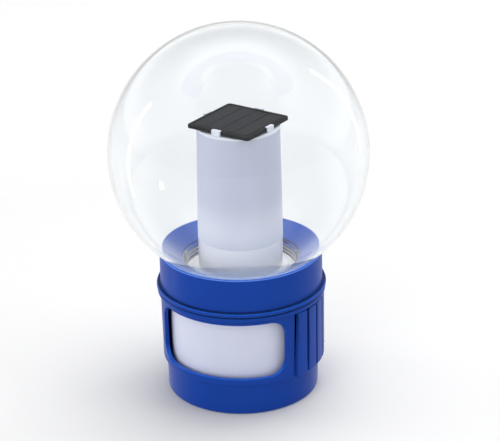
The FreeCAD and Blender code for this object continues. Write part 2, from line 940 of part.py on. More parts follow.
def panel_leads():
    """Two leads side by side from the panel down the tube to the board."""
    drop = panel_bottom - board_top
    leads = []
    for x in (-lead_pair_spacing / 2, lead_pair_spacing / 2):
        points = []
        for x_share, y_share, z_share in lead_route_shares:
            place = FreeCAD.Vector(x_share * tube_inner_radius, y_share * tube_inner_radius, -z_share * drop)
            points.append(place + FreeCAD.Vector(x, 0, panel_bottom))
        path = bent_path(points)
        ring = Part.Wire(Part.makeCircle(lead_radius, points[0], points[1] - points[0]))
        lead = path.makePipeShell([ring], True, False)
        print("lead", round(path.Length, 1), "mm, volume share of its section",
              round(lead.Volume / (path.Length * math.pi * lead_radius**2), 4))
        leads.append(lead)
    return Part.makeCompound(leads)


pieces = [
    globe, light_base, base_oring, neck_gasket, base_cover, cover_gasket, cover_screws,
    battery, battery_contacts, switch_body, power_button, switch_leads,
    circuit_board, board_parts, board_screws, led_lamps, panel_leads,
    diffuser_tube, panel_tray, panel_pad, solar_panel, solar_cells,
    collar, canister, outer_sleeve, pivot_screw, pivot_washer,
]
for piece in pieces:
    shape = piece()
    shape.exportStep("parts/" + piece.__name__ + ".step")
    print(piece.__name__, len(shape.Solids), "solids", round(shape.Volume, 1), "mm3", shape.isValid())
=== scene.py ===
"""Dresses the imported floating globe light: visible pieces, finishes, floor, lamps and camera.

Sizes of pieces and patterns are millimetres, as on a drawing, and become metres where a mesh or a node
is made. The depth of a grain, the room, its lamps and the camera are in metres.
"""

import logging
import math
from dataclasses import dataclass
from enum import Enum
from typing import Callable, Mapping, Optional, Sequence

import bmesh
import bpy
from mathutils import Matrix, Vector


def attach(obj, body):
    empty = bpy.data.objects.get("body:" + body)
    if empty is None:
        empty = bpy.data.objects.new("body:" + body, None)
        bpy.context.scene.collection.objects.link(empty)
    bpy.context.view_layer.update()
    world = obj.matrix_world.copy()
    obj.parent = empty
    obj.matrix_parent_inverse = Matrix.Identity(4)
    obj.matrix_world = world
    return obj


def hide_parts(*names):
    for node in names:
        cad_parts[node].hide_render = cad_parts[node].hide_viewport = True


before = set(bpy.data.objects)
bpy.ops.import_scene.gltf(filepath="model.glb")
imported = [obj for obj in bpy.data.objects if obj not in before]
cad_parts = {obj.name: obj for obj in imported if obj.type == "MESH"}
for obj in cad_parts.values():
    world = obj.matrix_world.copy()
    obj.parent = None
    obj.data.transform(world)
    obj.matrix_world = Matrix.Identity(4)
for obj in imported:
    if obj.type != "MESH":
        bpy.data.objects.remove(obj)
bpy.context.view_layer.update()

Piece = bpy.types.Object
Socket = bpy.types.NodeSocket
Sockets = Mapping[str, Socket]
Pair = tuple[float, float]
Point = tuple[float, float]
Triple = tuple[float, float, float]
Place = tuple[float, float, float]
Colour = tuple[float, float, float]

MM = 0.001
WHITE: Colour = (1.0, 1.0, 1.0)
log = logging.getLogger("globe_light")

# Sizes that several pieces share
BALL_CENTRE = 184.956
BODY_RADIUS = 60.2
PANEL_SIDE = 53.5
PANEL_TOP = 209.8
PANEL_YAW = -14.2
CAMERA_BEARING = 20.8

# How far off a place may be and still be picked
SLACK = 0.02

# How much of a face's normal lies along the way that it looks
FACING = 0.9

# How much large faces lead a piece's shading
FACE_WEIGHT = 80


# Modelling by operators


class Work(Enum):
    """What tools do to a piece."""

    CUT = "DIFFERENCE"
    ADD = "UNION"


def start_piece() -> None:
    """Leaves edit mode and deselects everything, so that the next operator acts on one piece only."""
    if bpy.context.mode != "OBJECT":
        bpy.ops.object.mode_set(mode="OBJECT")
    bpy.ops.object.select_all(action="DESELECT")


def take_up(piece: Piece, editing: bool = True) -> None:
    """Makes a piece the only selected object.

    Args:
        piece: The object to work on.
        editing: True to go into edit mode.
    """
    start_piece()
    piece.select_set(True)
    bpy.context.view_layer.objects.active = piece
    if editing:
        bpy.ops.object.mode_set(mode="EDIT")


def put_down(name: str) -> Piece:
    """Leaves edit mode, puts the place of the active object into its mesh and names it.

    Args:
        name: Name for the object and its mesh.

    Returns:
        The named object, at the origin.
    """
    if bpy.context.mode != "OBJECT":
        bpy.ops.object.mode_set(mode="OBJECT")
    bpy.ops.object.transform_apply(location=True, rotation=True, scale=True)
    piece = bpy.context.object
    piece.name = piece.data.name = name
    return piece


def close_up(name: str) -> Piece:
    """Points all faces of the edited piece outwards and puts it down.

    Args:
        name: Name for the object and its mesh.

    Returns:
        The named object, at the origin.
    """
    bpy.ops.mesh.select_all(action="SELECT")
    bpy.ops.mesh.normals_make_consistent(inside=False)
    return put_down(name)


def draw_edges(rise: float) -> None:
    """Extrudes the selected edges upwards."""
    bpy.ops.mesh.extrude_edges_move(TRANSFORM_OT_translate={"value": (0, 0, rise * MM)})


def draw_faces(x: float, z: float) -> None:
    """Extrudes the selected faces along X and upwards."""
    bpy.ops.mesh.extrude_region_move(TRANSFORM_OT_translate={"value": (x * MM, 0, z * MM)})


def turn_selection(angle: float) -> None:
    """Turns what is selected about the upright axis, by degrees counter-clockwise seen from above."""
    bpy.ops.transform.rotate(value=-math.radians(angle), orient_axis="Z", center_override=(0, 0, 0))


def pick(piece: Piece, test: Callable[[Vector], bool]) -> None:
    """Selects the edges of a piece in edit mode whose two ends both pass a test.

    Args:
        piece: The object that is being edited.
        test: Takes a place in millimetres.
    """
    bpy.context.tool_settings.mesh_select_mode = (False, True, False)
    bpy.ops.mesh.select_all(action="DESELECT")
    mesh = bmesh.from_edit_mesh(piece.data)
    chosen = {v.index for v in mesh.verts if test(v.co / MM)}
    for edge in mesh.edges:
        edge.select_set(edge.verts[0].index in chosen and edge.verts[1].index in chosen)
    mesh.select_flush_mode()
    bmesh.update_edit_mesh(piece.data)


def pick_faces(piece: Piece, test: Callable[[Vector, Vector], bool]) -> None:
    """Selects the faces of a piece in edit mode that pass a test.

    Args:
        piece: The object that is being edited.
        test: Takes a face's normal and its middle in millimetres.
    """
    bpy.context.tool_settings.mesh_select_mode = (False, False, True)
    bpy.ops.mesh.select_all(action="DESELECT")
    mesh = bmesh.from_edit_mesh(piece.data)
    for face in mesh.faces:
        face.select_set(test(face.normal, face.calc_center_median() / MM))
    bmesh.update_edit_mesh(piece.data)


def at_ring(radius: float, height: float) -> Callable[[Vector], bool]:
    """Gives a test, for pick(), for places on one ring about the upright axis."""
    return lambda p: abs(p.z - height) < SLACK and abs(math.hypot(p.x, p.y) - radius) < SLACK


def turned(name: str, outline: Sequence[Point], segments: int = 180) -> Piece:
    """Draws a ring out along an outline about the upright axis, and joins the last ring to the first.

    Args:
        name: Name of the new object.
        outline: Radius and height of each ring. Radius 0 at both ends makes poles.
        segments: Steps round the axis.

    Returns:
        The new object.
    """
    start_piece()
    rings = [p for p in outline if p[0] > 0]
    radius, height = rings[0]
    bpy.ops.mesh.primitive_circle_add(vertices=segments, radius=radius * MM, location=(0, 0, height * MM))
    piece = put_down(name)
    take_up(piece)
    bpy.ops.mesh.select_all(action="SELECT")
    if outline[0][0] == 0:
        draw_edges(outline[0][1] - height)
        bpy.ops.mesh.merge(type="CENTER")
        pick(piece, at_ring(radius, height))
    for next_radius, next_height in rings[1:]:
        draw_edges(next_height - height)
        share = next_radius / radius
        if share != 1:
            bpy.ops.transform.resize(value=(share, share, 1), center_override=(0, 0, next_height * MM))
        radius, height = next_radius, next_height
    if outline[-1][0] == 0:
        draw_edges(outline[-1][1] - height)
        bpy.ops.mesh.merge(type="CENTER")
    else:
        bpy.ops.mesh.select_all(action="DESELECT")
        bpy.ops.mesh.select_non_manifold(extend=False, use_wire=False, use_multi_face=False, use_verts=False)
        bpy.ops.mesh.bridge_edge_loops()
    return close_up(name)


def ease_rings(piece: Piece, rings: Sequence[Triple], steps: int = 5) -> None:
    """Rounds sharp rings of a turned piece.

    Args:
        piece: The turned object.
        rings: Radius, height and round of each ring.
        steps: Faces across each round.
    """
    take_up(piece)
    for radius, height, width in rings:
        pick(piece, at_ring(radius, height))
        bpy.ops.mesh.bevel(offset=width * MM, segments=steps, affect="EDGES", clamp_overlap=False)
    put_down(piece.name)


def swept(name: str, inner: float, outer: float, low: float, high: float, columns: Sequence[Pair]) -> Piece:
    """Sweeps an upright rectangle round the axis, so that its ends lie along radii.

    Args:
        name: Name of the new object.
        inner: Inside radius.
        outer: Outside radius.
        low: Lowest height.
        high: Highest height.
        columns: Angle in degrees and share of the full height at each step.

    Returns:
        The new object.
    """
    start_piece()
    middle = (low + high) / 2
    place = ((inner + outer) / 2 * MM, 0, middle * MM)
    bpy.ops.mesh.primitive_plane_add(size=1, location=place, rotation=(math.radians(90), 0, 0))
    bpy.context.object.scale = ((outer - inner) * MM, (high - low) * MM, 1)
    piece = put_down(name)
    take_up(piece)
    bpy.ops.mesh.select_all(action="SELECT")
    angle, share = columns[0]
    turn_selection(angle)
    bpy.ops.transform.resize(value=(1, 1, share), center_override=(0, 0, middle * MM))
    for next_angle, next_share in columns[1:]:
        bpy.ops.mesh.extrude_region_move()
        turn_selection(next_angle - angle)
        bpy.ops.transform.resize(value=(1, 1, next_share / share), center_override=(0, 0, middle * MM))
        angle, share = next_angle, next_share
    return close_up(name)


def even_columns(half_angle: float, step: float) -> list[Pair]:
    """Columns of a plain sector for swept(), at most a step of degrees apart."""
    count = math.ceil(2 * half_angle / step)
    return [(-half_angle + 2 * half_angle * i / count, 1.0) for i in range(count + 1)]


def rod(name: str, radius: float, low: float, high: float, circle: float, angle: float) -> Piece:
    """Makes an upright round bar.

    Args:
        name: Name of the new object.
        radius: Radius of the bar.
        low: Lowest height.
        high: Highest height.
        circle: Distance of its axis from the upright axis.
        angle: Where on that circle its axis stands, in degrees.

    Returns:
        The new object.
    """
    start_piece()
    turn = math.radians(angle)
    place = (circle * math.cos(turn) * MM, circle * math.sin(turn) * MM, (low + high) / 2 * MM)
    bpy.ops.mesh.primitive_cylinder_add(radius=radius * MM, depth=(high - low) * MM, location=place)
    return put_down(name)


def bar(name: str, low: Sequence[float], high: Sequence[float]) -> Piece:
    """Makes a block between two corners.

    Args:
        name: Name of the new object.
        low: Lowest corner.
        high: Highest corner.

    Returns:
        The new object.
    """
    start_piece()
    middle = [(a + b) / 2 * MM for a, b in zip(low, high)]
    bpy.ops.mesh.primitive_cube_add(size=1, location=middle)
    bpy.context.object.scale = [(b - a) * MM for a, b in zip(low, high)]
    return put_down(name)


def turned_copies(piece: Piece, angles: Sequence[float]) -> list[Piece]:
    """Copies a piece round the upright axis, each copy with its own mesh, and removes the original.

    Args:
        piece: The object to copy.
        angles: Degrees of each copy, counter-clockwise seen from above.

    Returns:
        The copies.
    """
    copies = []
    for angle in angles:
        copy = piece.copy()
        copy.data = piece.data.copy()
        bpy.context.scene.collection.objects.link(copy)
        copy.data.transform(Matrix.Rotation(math.radians(angle), 4, "Z"))
        copies.append(copy)
    bpy.data.objects.remove(piece)
    return copies


def apply(piece: Piece, kind: str, **settings: object) -> None:
    """Adds a modifier to a piece and applies it.

    Args:
        piece: The object to change.
        kind: Blender's name of the modifier's type.
        settings: Values of the modifier.
    """
    take_up(piece, editing=False)
    modifier = piece.modifiers.new(kind.title(), kind)
    for name, value in settings.items():
        setattr(modifier, name, value)
    bpy.ops.object.modifier_apply(modifier=modifier.name)


def work_in(piece: Piece, tools: Sequence[Piece], work: Work = Work.CUT) -> None:
    """Cuts the tools out of a piece, or adds them to it, and removes them.

    Args:
        piece: The object to change.
        tools: Closed objects that don't touch each other.
        work: Whether to cut or to add.
    """
    start_piece()
    for tool in tools:
        tool.select_set(True)
    bpy.context.view_layer.objects.active = tools[0]
    if len(tools) > 1:
        bpy.ops.object.join()
    joined = bpy.context.view_layer.objects.active
    apply(piece, "BOOLEAN", operation=work.value, object=joined, solver="EXACT")
    bpy.data.objects.remove(joined)


def round_edges(piece: Piece, width: float, above: float, steps: int = 3, clamped: bool = True) -> None:
    """Rounds the sharp edges of a piece.

    Args:
        piece: The object to change.
        width: Width of the round.
        above: Degrees between faces above which an edge is sharp.
        steps: Faces across the round.
        clamped: True to keep rounds from overlapping.
    """
    apply(piece, "BEVEL", width=width * MM, segments=steps, limit_method="ANGLE",
          angle_limit=math.radians(above), use_clamp_overlap=clamped)


def smooth(piece: Piece, sharp_above: float = 35.0, weighted: bool = True) -> None:
    """Gives a piece its final shading.

    Args:
        piece: The object to shade.
        sharp_above: Degrees between faces above which their edge stays sharp.
        weighted: True to let large faces lead the shading.
    """
    take_up(piece, editing=False)
    bpy.ops.object.shade_smooth_by_angle(angle=math.radians(sharp_above))
    if weighted:
        apply(piece, "WEIGHTED_NORMAL", keep_sharp=True, weight=FACE_WEIGHT)


def arc(radius: float, centre_height: float, first: float, last: float, count: int) -> list[Point]:
    """Rings on a sphere about the upright axis, from one angle to another, in degrees from straight down."""
    angles = [math.radians(first + (last - first) * i / (count - 1)) for i in range(count)]
    return [(radius * math.sin(a), centre_height - radius * math.cos(a)) for a in angles]


def soft_corner(before: Point, corner: Point, after: Point, count: int = 5) -> list[Point]:
    """Bends smoothly from one point to another past a corner.

    Args:
        before: The first point.
        corner: The corner that the bend rounds off.
        after: The last point.
        count: Steps along the bend.

    Returns:
        Its points.
    """
    points = []
    for i in range(count + 1):
        t = i / count
        pulls = ((before, (1 - t) ** 2), (corner, 2 * t * (1 - t)), (after, t**2))
        points.append(tuple(sum(pull * point[k] for point, pull in pulls) for k in (0, 1)))
    return points


def seat(piece: Piece, body: str, slot: str, finish: "Finish", *nodes: str) -> None:
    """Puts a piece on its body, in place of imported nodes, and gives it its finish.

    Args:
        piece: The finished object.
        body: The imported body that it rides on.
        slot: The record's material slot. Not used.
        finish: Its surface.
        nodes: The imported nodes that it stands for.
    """
    start_piece()
    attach(piece, body)
    if nodes:
        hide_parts(*nodes)
    piece.data.materials.clear()
    piece.data.materials.append(finish.material())
    faces = sum(len(p.vertices) - 2 for p in piece.data.polygons)
    log.info("%s rides on %s, %d triangles", piece.name, body, faces)


# Finishes


class Effect(Enum):
    """Surface effects that several finishes share, each a node group."""

    SKIN = "moulded_skin"
    # Paler edges: wear, and a painted highlight along them
    WORN_AND_HIGHLIT = "worn_and_highlit_edges"
    # Paler colour on faces that look up: painted light from above
    TOP_LIGHT = "painted_top_light"
    DUST = "settled_dust"


class Wiring:
    """Adds nodes to one shader tree. Its short methods hand on the socket that the next node needs."""

    def __init__(self, tree: bpy.types.NodeTree) -> None:
        """Starts work on a tree."""
        self.tree = tree

    @classmethod
    def of(cls, owner: bpy.types.ID) -> "Wiring":
        """Gives a material or a world an empty tree, and starts work on it.

        Args:
            owner: The material or the world.

        Returns:
            The wiring of its tree.
        """
        owner.use_nodes = True
        owner.node_tree.nodes.clear()
        return cls(owner.node_tree)

    def node(self, kind: str, inputs: dict[object, object], **settings: object) -> bpy.types.Node:
        """Adds a node and wires or sets its inputs.

        Args:
            kind: Blender's type name of the node, without ShaderNode.
            inputs: A socket to link, or a value, for each input's name or number.
            settings: Values of the node itself.

        Returns:
            The new node.
        """
        node = self.tree.nodes.new("ShaderNode" + kind)
        for name, value in settings.items():
            setattr(node, name, value)
        for name, value in inputs.items():
            if isinstance(name, int):
                socket = node.inputs[name]
            else:
                socket = next(s for s in node.inputs if s.name == name and s.enabled)
            if isinstance(value, Socket):
                self.tree.links.new(value, socket)
            elif socket.type == "RGBA":
                socket.default_value = (*value, 1)
            else:
                socket.default_value = value
        return node

    def work_out(self, operation: str, first: object, second: object = 0.0, clamp: bool = False) -> Socket:
        """Does one operation of Blender's Math node on two values."""
        return self.node("Math", {0: first, 1: second}, operation=operation, use_clamp=clamp).outputs[0]

    def times(self, first: object, *others: object) -> Socket:
        """Multiplies values.

        Args:
            first: A socket or a number.
            others: More of them.

        Returns:
            The product.
        """
        for other in others:
            first = self.work_out("MULTIPLY", first, other)
        return first

    def ramp(self, value: Socket, low: float, high: float, start: object = 0.0, end: object = 1.0,
             soft: bool = False) -> Socket:
        """Maps a range onto another and holds what lies past it.

        Args:
            value: The value to map.
            low: Where the range begins.
            high: Where the range ends.
            start: The result at its beginning.
            end: The result at its end.
            soft: True to ease both ends of the range.

        Returns:
            The mapped value.
        """
        return self.node("MapRange", {
            "Value": value, "From Min": low, "From Max": high, "To Min": start, "To Max": end,
        }, interpolation_type="SMOOTHSTEP" if soft else "LINEAR").outputs[0]

    def swing(self, noise: Socket, centre: object, amount: object) -> Socket:
        """Swings a value about its centre, by a noise from 0 to 1."""
        return self.work_out("ADD", self.times(self.ramp(noise, 0.0, 1.0, start=-1.0), amount), centre)

    def mix(self, share: object, under: object, over: object, blend: str = "MIX") -> Socket:
        """Mixes one colour into another."""
        return self.node("Mix", {"Factor": share, "A": under, "B": over}, data_type="RGBA",
                         blend_type=blend).outputs[2]

    def noise(self, place: Socket, scale: object, detail: float) -> Socket:
        """Gives a noise from 0 to 1."""
        return self.node("TexNoise", {"Vector": place, "Scale": scale, "Detail": detail}).outputs["Fac"]

    def scaled(self, place: Socket, share: Sequence[float]) -> Socket:
        """Scales a place along each axis."""
        return self.node("VectorMath", {0: place, 1: share}, operation="MULTIPLY").outputs[0]

    def length(self, place: Socket) -> Socket:
        """Gives the distance of a place from the origin."""
        return self.node("VectorMath", {0: place}, operation="LENGTH").outputs["Value"]

    def off_axis(self, place: Socket) -> Socket:
        """Gives the distance of a place from the upright axis."""
        return self.length(self.scaled(place, (1.0, 1.0, 0.0)))

    def along(self, place: Socket, way: Sequence[float]) -> Socket:
        """Gives how far a place lies along a way."""
        return self.node("VectorMath", {0: place, 1: way}, operation="DOT_PRODUCT").outputs["Value"]

    def upward(self, place: Socket) -> Socket:
        """Gives the upright part of a place or a way."""
        return self.node("SeparateXYZ", {"Vector": place}).outputs["Z"]

    def effect(self, effect: Effect, inputs: dict[str, object]) -> bpy.types.Node:
        """Places a shared group."""
        return self.node("Group", inputs, node_tree=GROUPS.get(effect))


@dataclass(frozen=True)
class Layer:
    """A colour that lies on edges, or on faces that look up, in patches."""

    edges: bool
    low: float
    high: float
    soft: bool
    patch_scale: float
    patch_detail: float
    patch_low: float = 0.0
    patch_high: float = 1.0
    patch_least: float = 0.0

    def mask(self, wiring: Wiring, place: Socket) -> Socket:
        """Gives how much of the colour lies on the surface.

        Args:
            wiring: The group's wiring.
            place: Place on the piece.

        Returns:
            The mask.
        """
        shape = wiring.node("NewGeometry", {}).outputs
        level = shape["Pointiness"] if self.edges else wiring.upward(shape["Normal"])
        patches = wiring.ramp(wiring.noise(place, self.patch_scale, self.patch_detail), self.patch_low,
                              self.patch_high, start=self.patch_least)
        return wiring.times(wiring.ramp(level, self.low, self.high, soft=self.soft), patches)


LAYERS: dict[Effect, Layer] = {
    # Edge wear, and a painted highlight along the edges
    Effect.WORN_AND_HIGHLIT: Layer(edges=True, low=0.52, high=0.62, soft=False, patch_scale=90.0, patch_detail=4.0),
    # Painted light from above: faces that look up take the laid colour
    Effect.TOP_LIGHT: Layer(edges=False, low=0.2, high=0.75, soft=True, patch_scale=35.0, patch_detail=3.0,
                           patch_low=0.3, patch_high=0.7, patch_least=0.85),
    Effect.DUST: Layer(edges=False, low=0.5, high=1.0, soft=False, patch_scale=260.0, patch_detail=6.0,
                       patch_low=0.35, patch_high=0.8),
}
DUST_COLOUR: Colour = (0.75, 0.76, 0.8)
CLOUD_DETAIL = 3.0
GRAIN_DETAIL = 2.0


class Groups:
    """Builds each shared node group once."""

    def __init__(self) -> None:
        """Starts with no group built."""
        self.trees: dict[Effect, bpy.types.NodeTree] = {}

    def get(self, effect: Effect) -> bpy.types.NodeTree:
        """Gives the node group of an effect, building it the first time.

        Args:
            effect: The effect.

        Returns:
            Its group.
        """
        if effect not in self.trees:
            self.trees[effect] = self.skin() if effect is Effect.SKIN else self.layer(effect)
        return self.trees[effect]

    @staticmethod
    def shell(effect: Effect, inputs: dict[str, str],
              outputs: dict[str, str]) -> tuple[Wiring, Sockets, bpy.types.Node]:
        """Makes an empty group with its sockets.

        Args:
            effect: The effect that the group is for.
            inputs: Socket type of each input.
            outputs: Socket type of each output.

        Returns:
            The group's wiring, what it is given, and its output node.
        """
        tree = bpy.data.node_groups.new(effect.value, "ShaderNodeTree")
        for way, sockets in (("INPUT", inputs), ("OUTPUT", outputs)):
            for name, kind in sockets.items():
                tree.interface.new_socket(name, in_out=way, socket_type="NodeSocket" + kind)
        return Wiring(tree), tree.nodes.new("NodeGroupInput").outputs, tree.nodes.new("NodeGroupOutput")

    def skin(self) -> bpy.types.NodeTree:
        """Moulded surface: soft clouds of tone and gloss, and a fine grain.

        Returns:
            The group.
        """
        wiring, given, out = self.shell(Effect.SKIN, {
            "Vector": "Vector", "Colour": "Color", "Cloud Scale": "Float", "Tone Swing": "Float",
            "Roughness": "Float", "Roughness Swing": "Float", "Grain Scale": "Float", "Grain Depth": "Float",
        }, {"Colour": "Color", "Roughness": "Float", "Normal": "Vector"})
        clouds = wiring.noise(given["Vector"], given["Cloud Scale"], CLOUD_DETAIL)
        tone = wiring.swing(clouds, 1.0, given["Tone Swing"])
        toned = wiring.node("HueSaturation", {"Color": given["Colour"], "Value": tone}).outputs["Color"]
        gloss = wiring.swing(clouds, given["Roughness"], given["Roughness Swing"])
        grain = wiring.noise(given["Vector"], given["Grain Scale"], GRAIN_DETAIL)
        bump = wiring.node("Bump", {"Height": grain, "Distance": given["Grain Depth"]}).outputs["Normal"]
        for name, socket in (("Colour", toned), ("Roughness", gloss), ("Normal", bump)):
            wiring.tree.links.new(socket, out.inputs[name])
        return wiring.tree

    def layer(self, effect: Effect) -> bpy.types.NodeTree:
        """Colour with another one laid over it by a layer's mask.

        Args:
            effect: Which layer.

        Returns:
            The group.
        """
        wiring, given, out = self.shell(effect, {
            "Vector": "Vector", "Colour": "Color", "Laid Colour": "Color", "Amount": "Float",
        }, {"Colour": "Color"})
        share = wiring.times(LAYERS[effect].mask(wiring, given["Vector"]), given["Amount"])
        mixed = wiring.mix(share, given["Colour"], given["Laid Colour"])
        wiring.tree.links.new(mixed, out.inputs["Colour"])
        return wiring.tree


GROUPS = Groups()


@dataclass(frozen=True)
class Finish:
    """An opaque surface: colour, gloss, and how much of each shared effect it has."""

    name: str
    colour: Colour
    roughness: float = 0.4
    roughness_swing: float = 0.05
    tone_swing: float = 0.04
    cloud_scale: float = 20.0
    grain_scale: float = 900.0
    grain_depth: float = 0.00001
    metallic: float = 0.0
    specular: float = 0.5
    coat: float = 0.0
    coat_roughness: float = 0.08
    subsurface: float = 0.0
    subsurface_reach: float = 4.0
    subsurface_spread: Colour = (1.0, 1.0, 1.1)
    # Paler edges: wear, and a painted highlight along them
    wear_and_highlight_colour: Optional[Colour] = None
    wear_and_highlight_amount: float = 0.3
    # Painted light from above: a paler colour on faces that look up
    top_light_colour: Optional[Colour] = None
    top_light_amount: float = 0.9
    dust_amount: float = 0.0

    def material(self) -> bpy.types.Material:
        """Gives the finish's material, building it the first time.

        Returns:
            The material.
        """
        if self.name not in bpy.data.materials:
            wiring = Wiring.of(bpy.data.materials.new(self.name))
            place = wiring.node("TexCoord", {}).outputs["Object"]
            skin = wiring.effect(Effect.SKIN, {
                "Vector": place, "Colour": self.colour, "Cloud Scale": self.cloud_scale,
                "Tone Swing": self.tone_swing, "Roughness": self.roughness,
                "Roughness Swing": self.roughness_swing, "Grain Scale": self.grain_scale,
                "Grain Depth": self.grain_depth,
            }).outputs
            wiring.node("OutputMaterial", {"Surface": self.surface(wiring, place, skin)})
        return bpy.data.materials[self.name]

    def surface(self, wiring: Wiring, place: Socket, skin: Sockets) -> Socket:
        """Makes the shader, with every layer over the skin's colour.

        Args:
            wiring: The material's wiring.
            place: Place on the piece.
            skin: What the moulded skin puts out.

        Returns:
            The shader.
        """
        colour = skin["Colour"]
        # Painted light from above on faces that look up, then edge wear with a painted highlight along edges
        for effect, laid, amount in ((Effect.TOP_LIGHT, self.top_light_colour, self.top_light_amount),
                                     (Effect.WORN_AND_HIGHLIT, self.wear_and_highlight_colour, self.wear_and_highlight_amount)):
            if laid:
                colour = self.laid_over(wiring, effect, place, colour, laid, amount)
        colour = self.pattern(wiring, place, colour)
        if self.dust_amount:
            colour = self.laid_over(wiring, Effect.DUST, place, colour, DUST_COLOUR, self.dust_amount)
        return wiring.node("BsdfPrincipled", {
            "Base Color": colour, "Roughness": skin["Roughness"], "Normal": skin["Normal"],
            "Metallic": self.metallic, "Specular IOR Level": self.specular,
            "Coat Weight": self.coat, "Coat Roughness": self.coat_roughness,
            "Subsurface Weight": self.subsurface, "Subsurface Scale": self.subsurface_reach * MM,
            "Subsurface Radius": self.subsurface_spread,
        }).outputs[0]

    @staticmethod
    def laid_over(wiring: Wiring, effect: Effect, place: Socket, colour: Socket, laid: Colour,
                  amount: float) -> Socket:
        """Lays a colour over another by a shared group."""
        return wiring.effect(effect, {
            "Vector": place, "Colour": colour, "Laid Colour": laid, "Amount": amount}).outputs["Colour"]

    def pattern(self, wiring: Wiring, place: Socket, colour: Socket) -> Socket:
        """Draws nothing over the colour. Finishes with a pattern have their own."""
        return colour


@dataclass(frozen=True)
class CellFinish(Finish):
    """Dark solar cells with pale collecting lines."""

    line_colour: Colour = (0.05, 0.052, 0.06)
    line_pitch: float = 1.9
    line_edge: float = 0.93
    line_core: float = 0.99
    wave_period: float = math.pi / 10

    def pattern(self, wiring: Wiring, place: Socket, colour: Socket) -> Socket:
        """Draws the collecting lines across the cells.

        Args:
            wiring: The material's wiring.
            place: Place on the panel.
            colour: The cells' colour.

        Returns:
            The colour with the lines.
        """
        straight = wiring.node("Mapping", {"Vector": place, "Rotation": (0, 0, -math.radians(PANEL_YAW))})
        scale = self.wave_period / (self.line_pitch * MM)
        lines = wiring.node("TexWave", {"Vector": straight.outputs[0], "Scale": scale}, bands_direction="Y")
        crisp = wiring.ramp(lines.outputs["Fac"], self.line_edge, self.line_core)
        return wiring.mix(crisp, colour, self.line_colour)


@dataclass(frozen=True)
class FrostedFinish(Finish):
    """Frosted tube, whiter towards its foot: painted light."""

    foot_light_colour: Colour = (0.72, 0.74, 0.84)
    foot: float = 128.0
    even: float = 160.0

    def pattern(self, wiring: Wiring, place: Socket, colour: Socket) -> Socket:
        """Fades the painted light of the foot into the tube's own colour."""
        share = wiring.ramp(wiring.upward(place), self.foot * MM, self.even * MM, soft=True)
        return wiring.mix(share, self.foot_light_colour, colour)


@dataclass(frozen=True)
class BeadFinish(Finish):
    """Blue plastic with painted shade in each crease above, between and under the two beads, and a painted
    highlight on the rim's outer edge.
    """

    # Height and half width of each band of painted shade, one at each crease
    shaded_creases: tuple[Pair, ...] = ((84.85, 0.6), (81.15, 1.15), (77.1, 0.9))
    crease_shade_core: float = 0.3
    crease_shade_level: float = 0.2
    # Painted highlight on the rim's outer edge
    rim_highlight_colour: Colour = (0.16, 0.31, 0.72)
    rim_low: float = 109.2
    rim_full: float = 109.8
    rim_inner: float = 59.5
    rim_outer: float = 59.8

    def pattern(self, wiring: Wiring, place: Socket, colour: Socket) -> Socket:
        """Paints shade at the height of each crease and a painted highlight on the outer edge of the rim.

        Args:
            wiring: The material's wiring.
            place: Place on the piece.
            colour: The colour without them.

        Returns:
            The colour with them.
        """
        height = wiring.upward(place)
        # Painted shade in each crease
        for crease, half in self.shaded_creases:
            away = wiring.work_out("ABSOLUTE", wiring.work_out("SUBTRACT", height, crease * MM))
            core = self.crease_shade_core * half
            level = wiring.ramp(away, core * MM, half * MM, start=self.crease_shade_level, soft=True)
            colour = wiring.mix(1.0, colour, level, blend="MULTIPLY")
        # Painted highlight on the outer edge of the rim
        radius = wiring.off_axis(place)
        outside = wiring.ramp(radius, self.rim_inner * MM, self.rim_outer * MM)
        above = wiring.ramp(height, self.rim_low * MM, self.rim_full * MM)
        return wiring.mix(wiring.times(outside, above), colour, self.rim_highlight_colour)


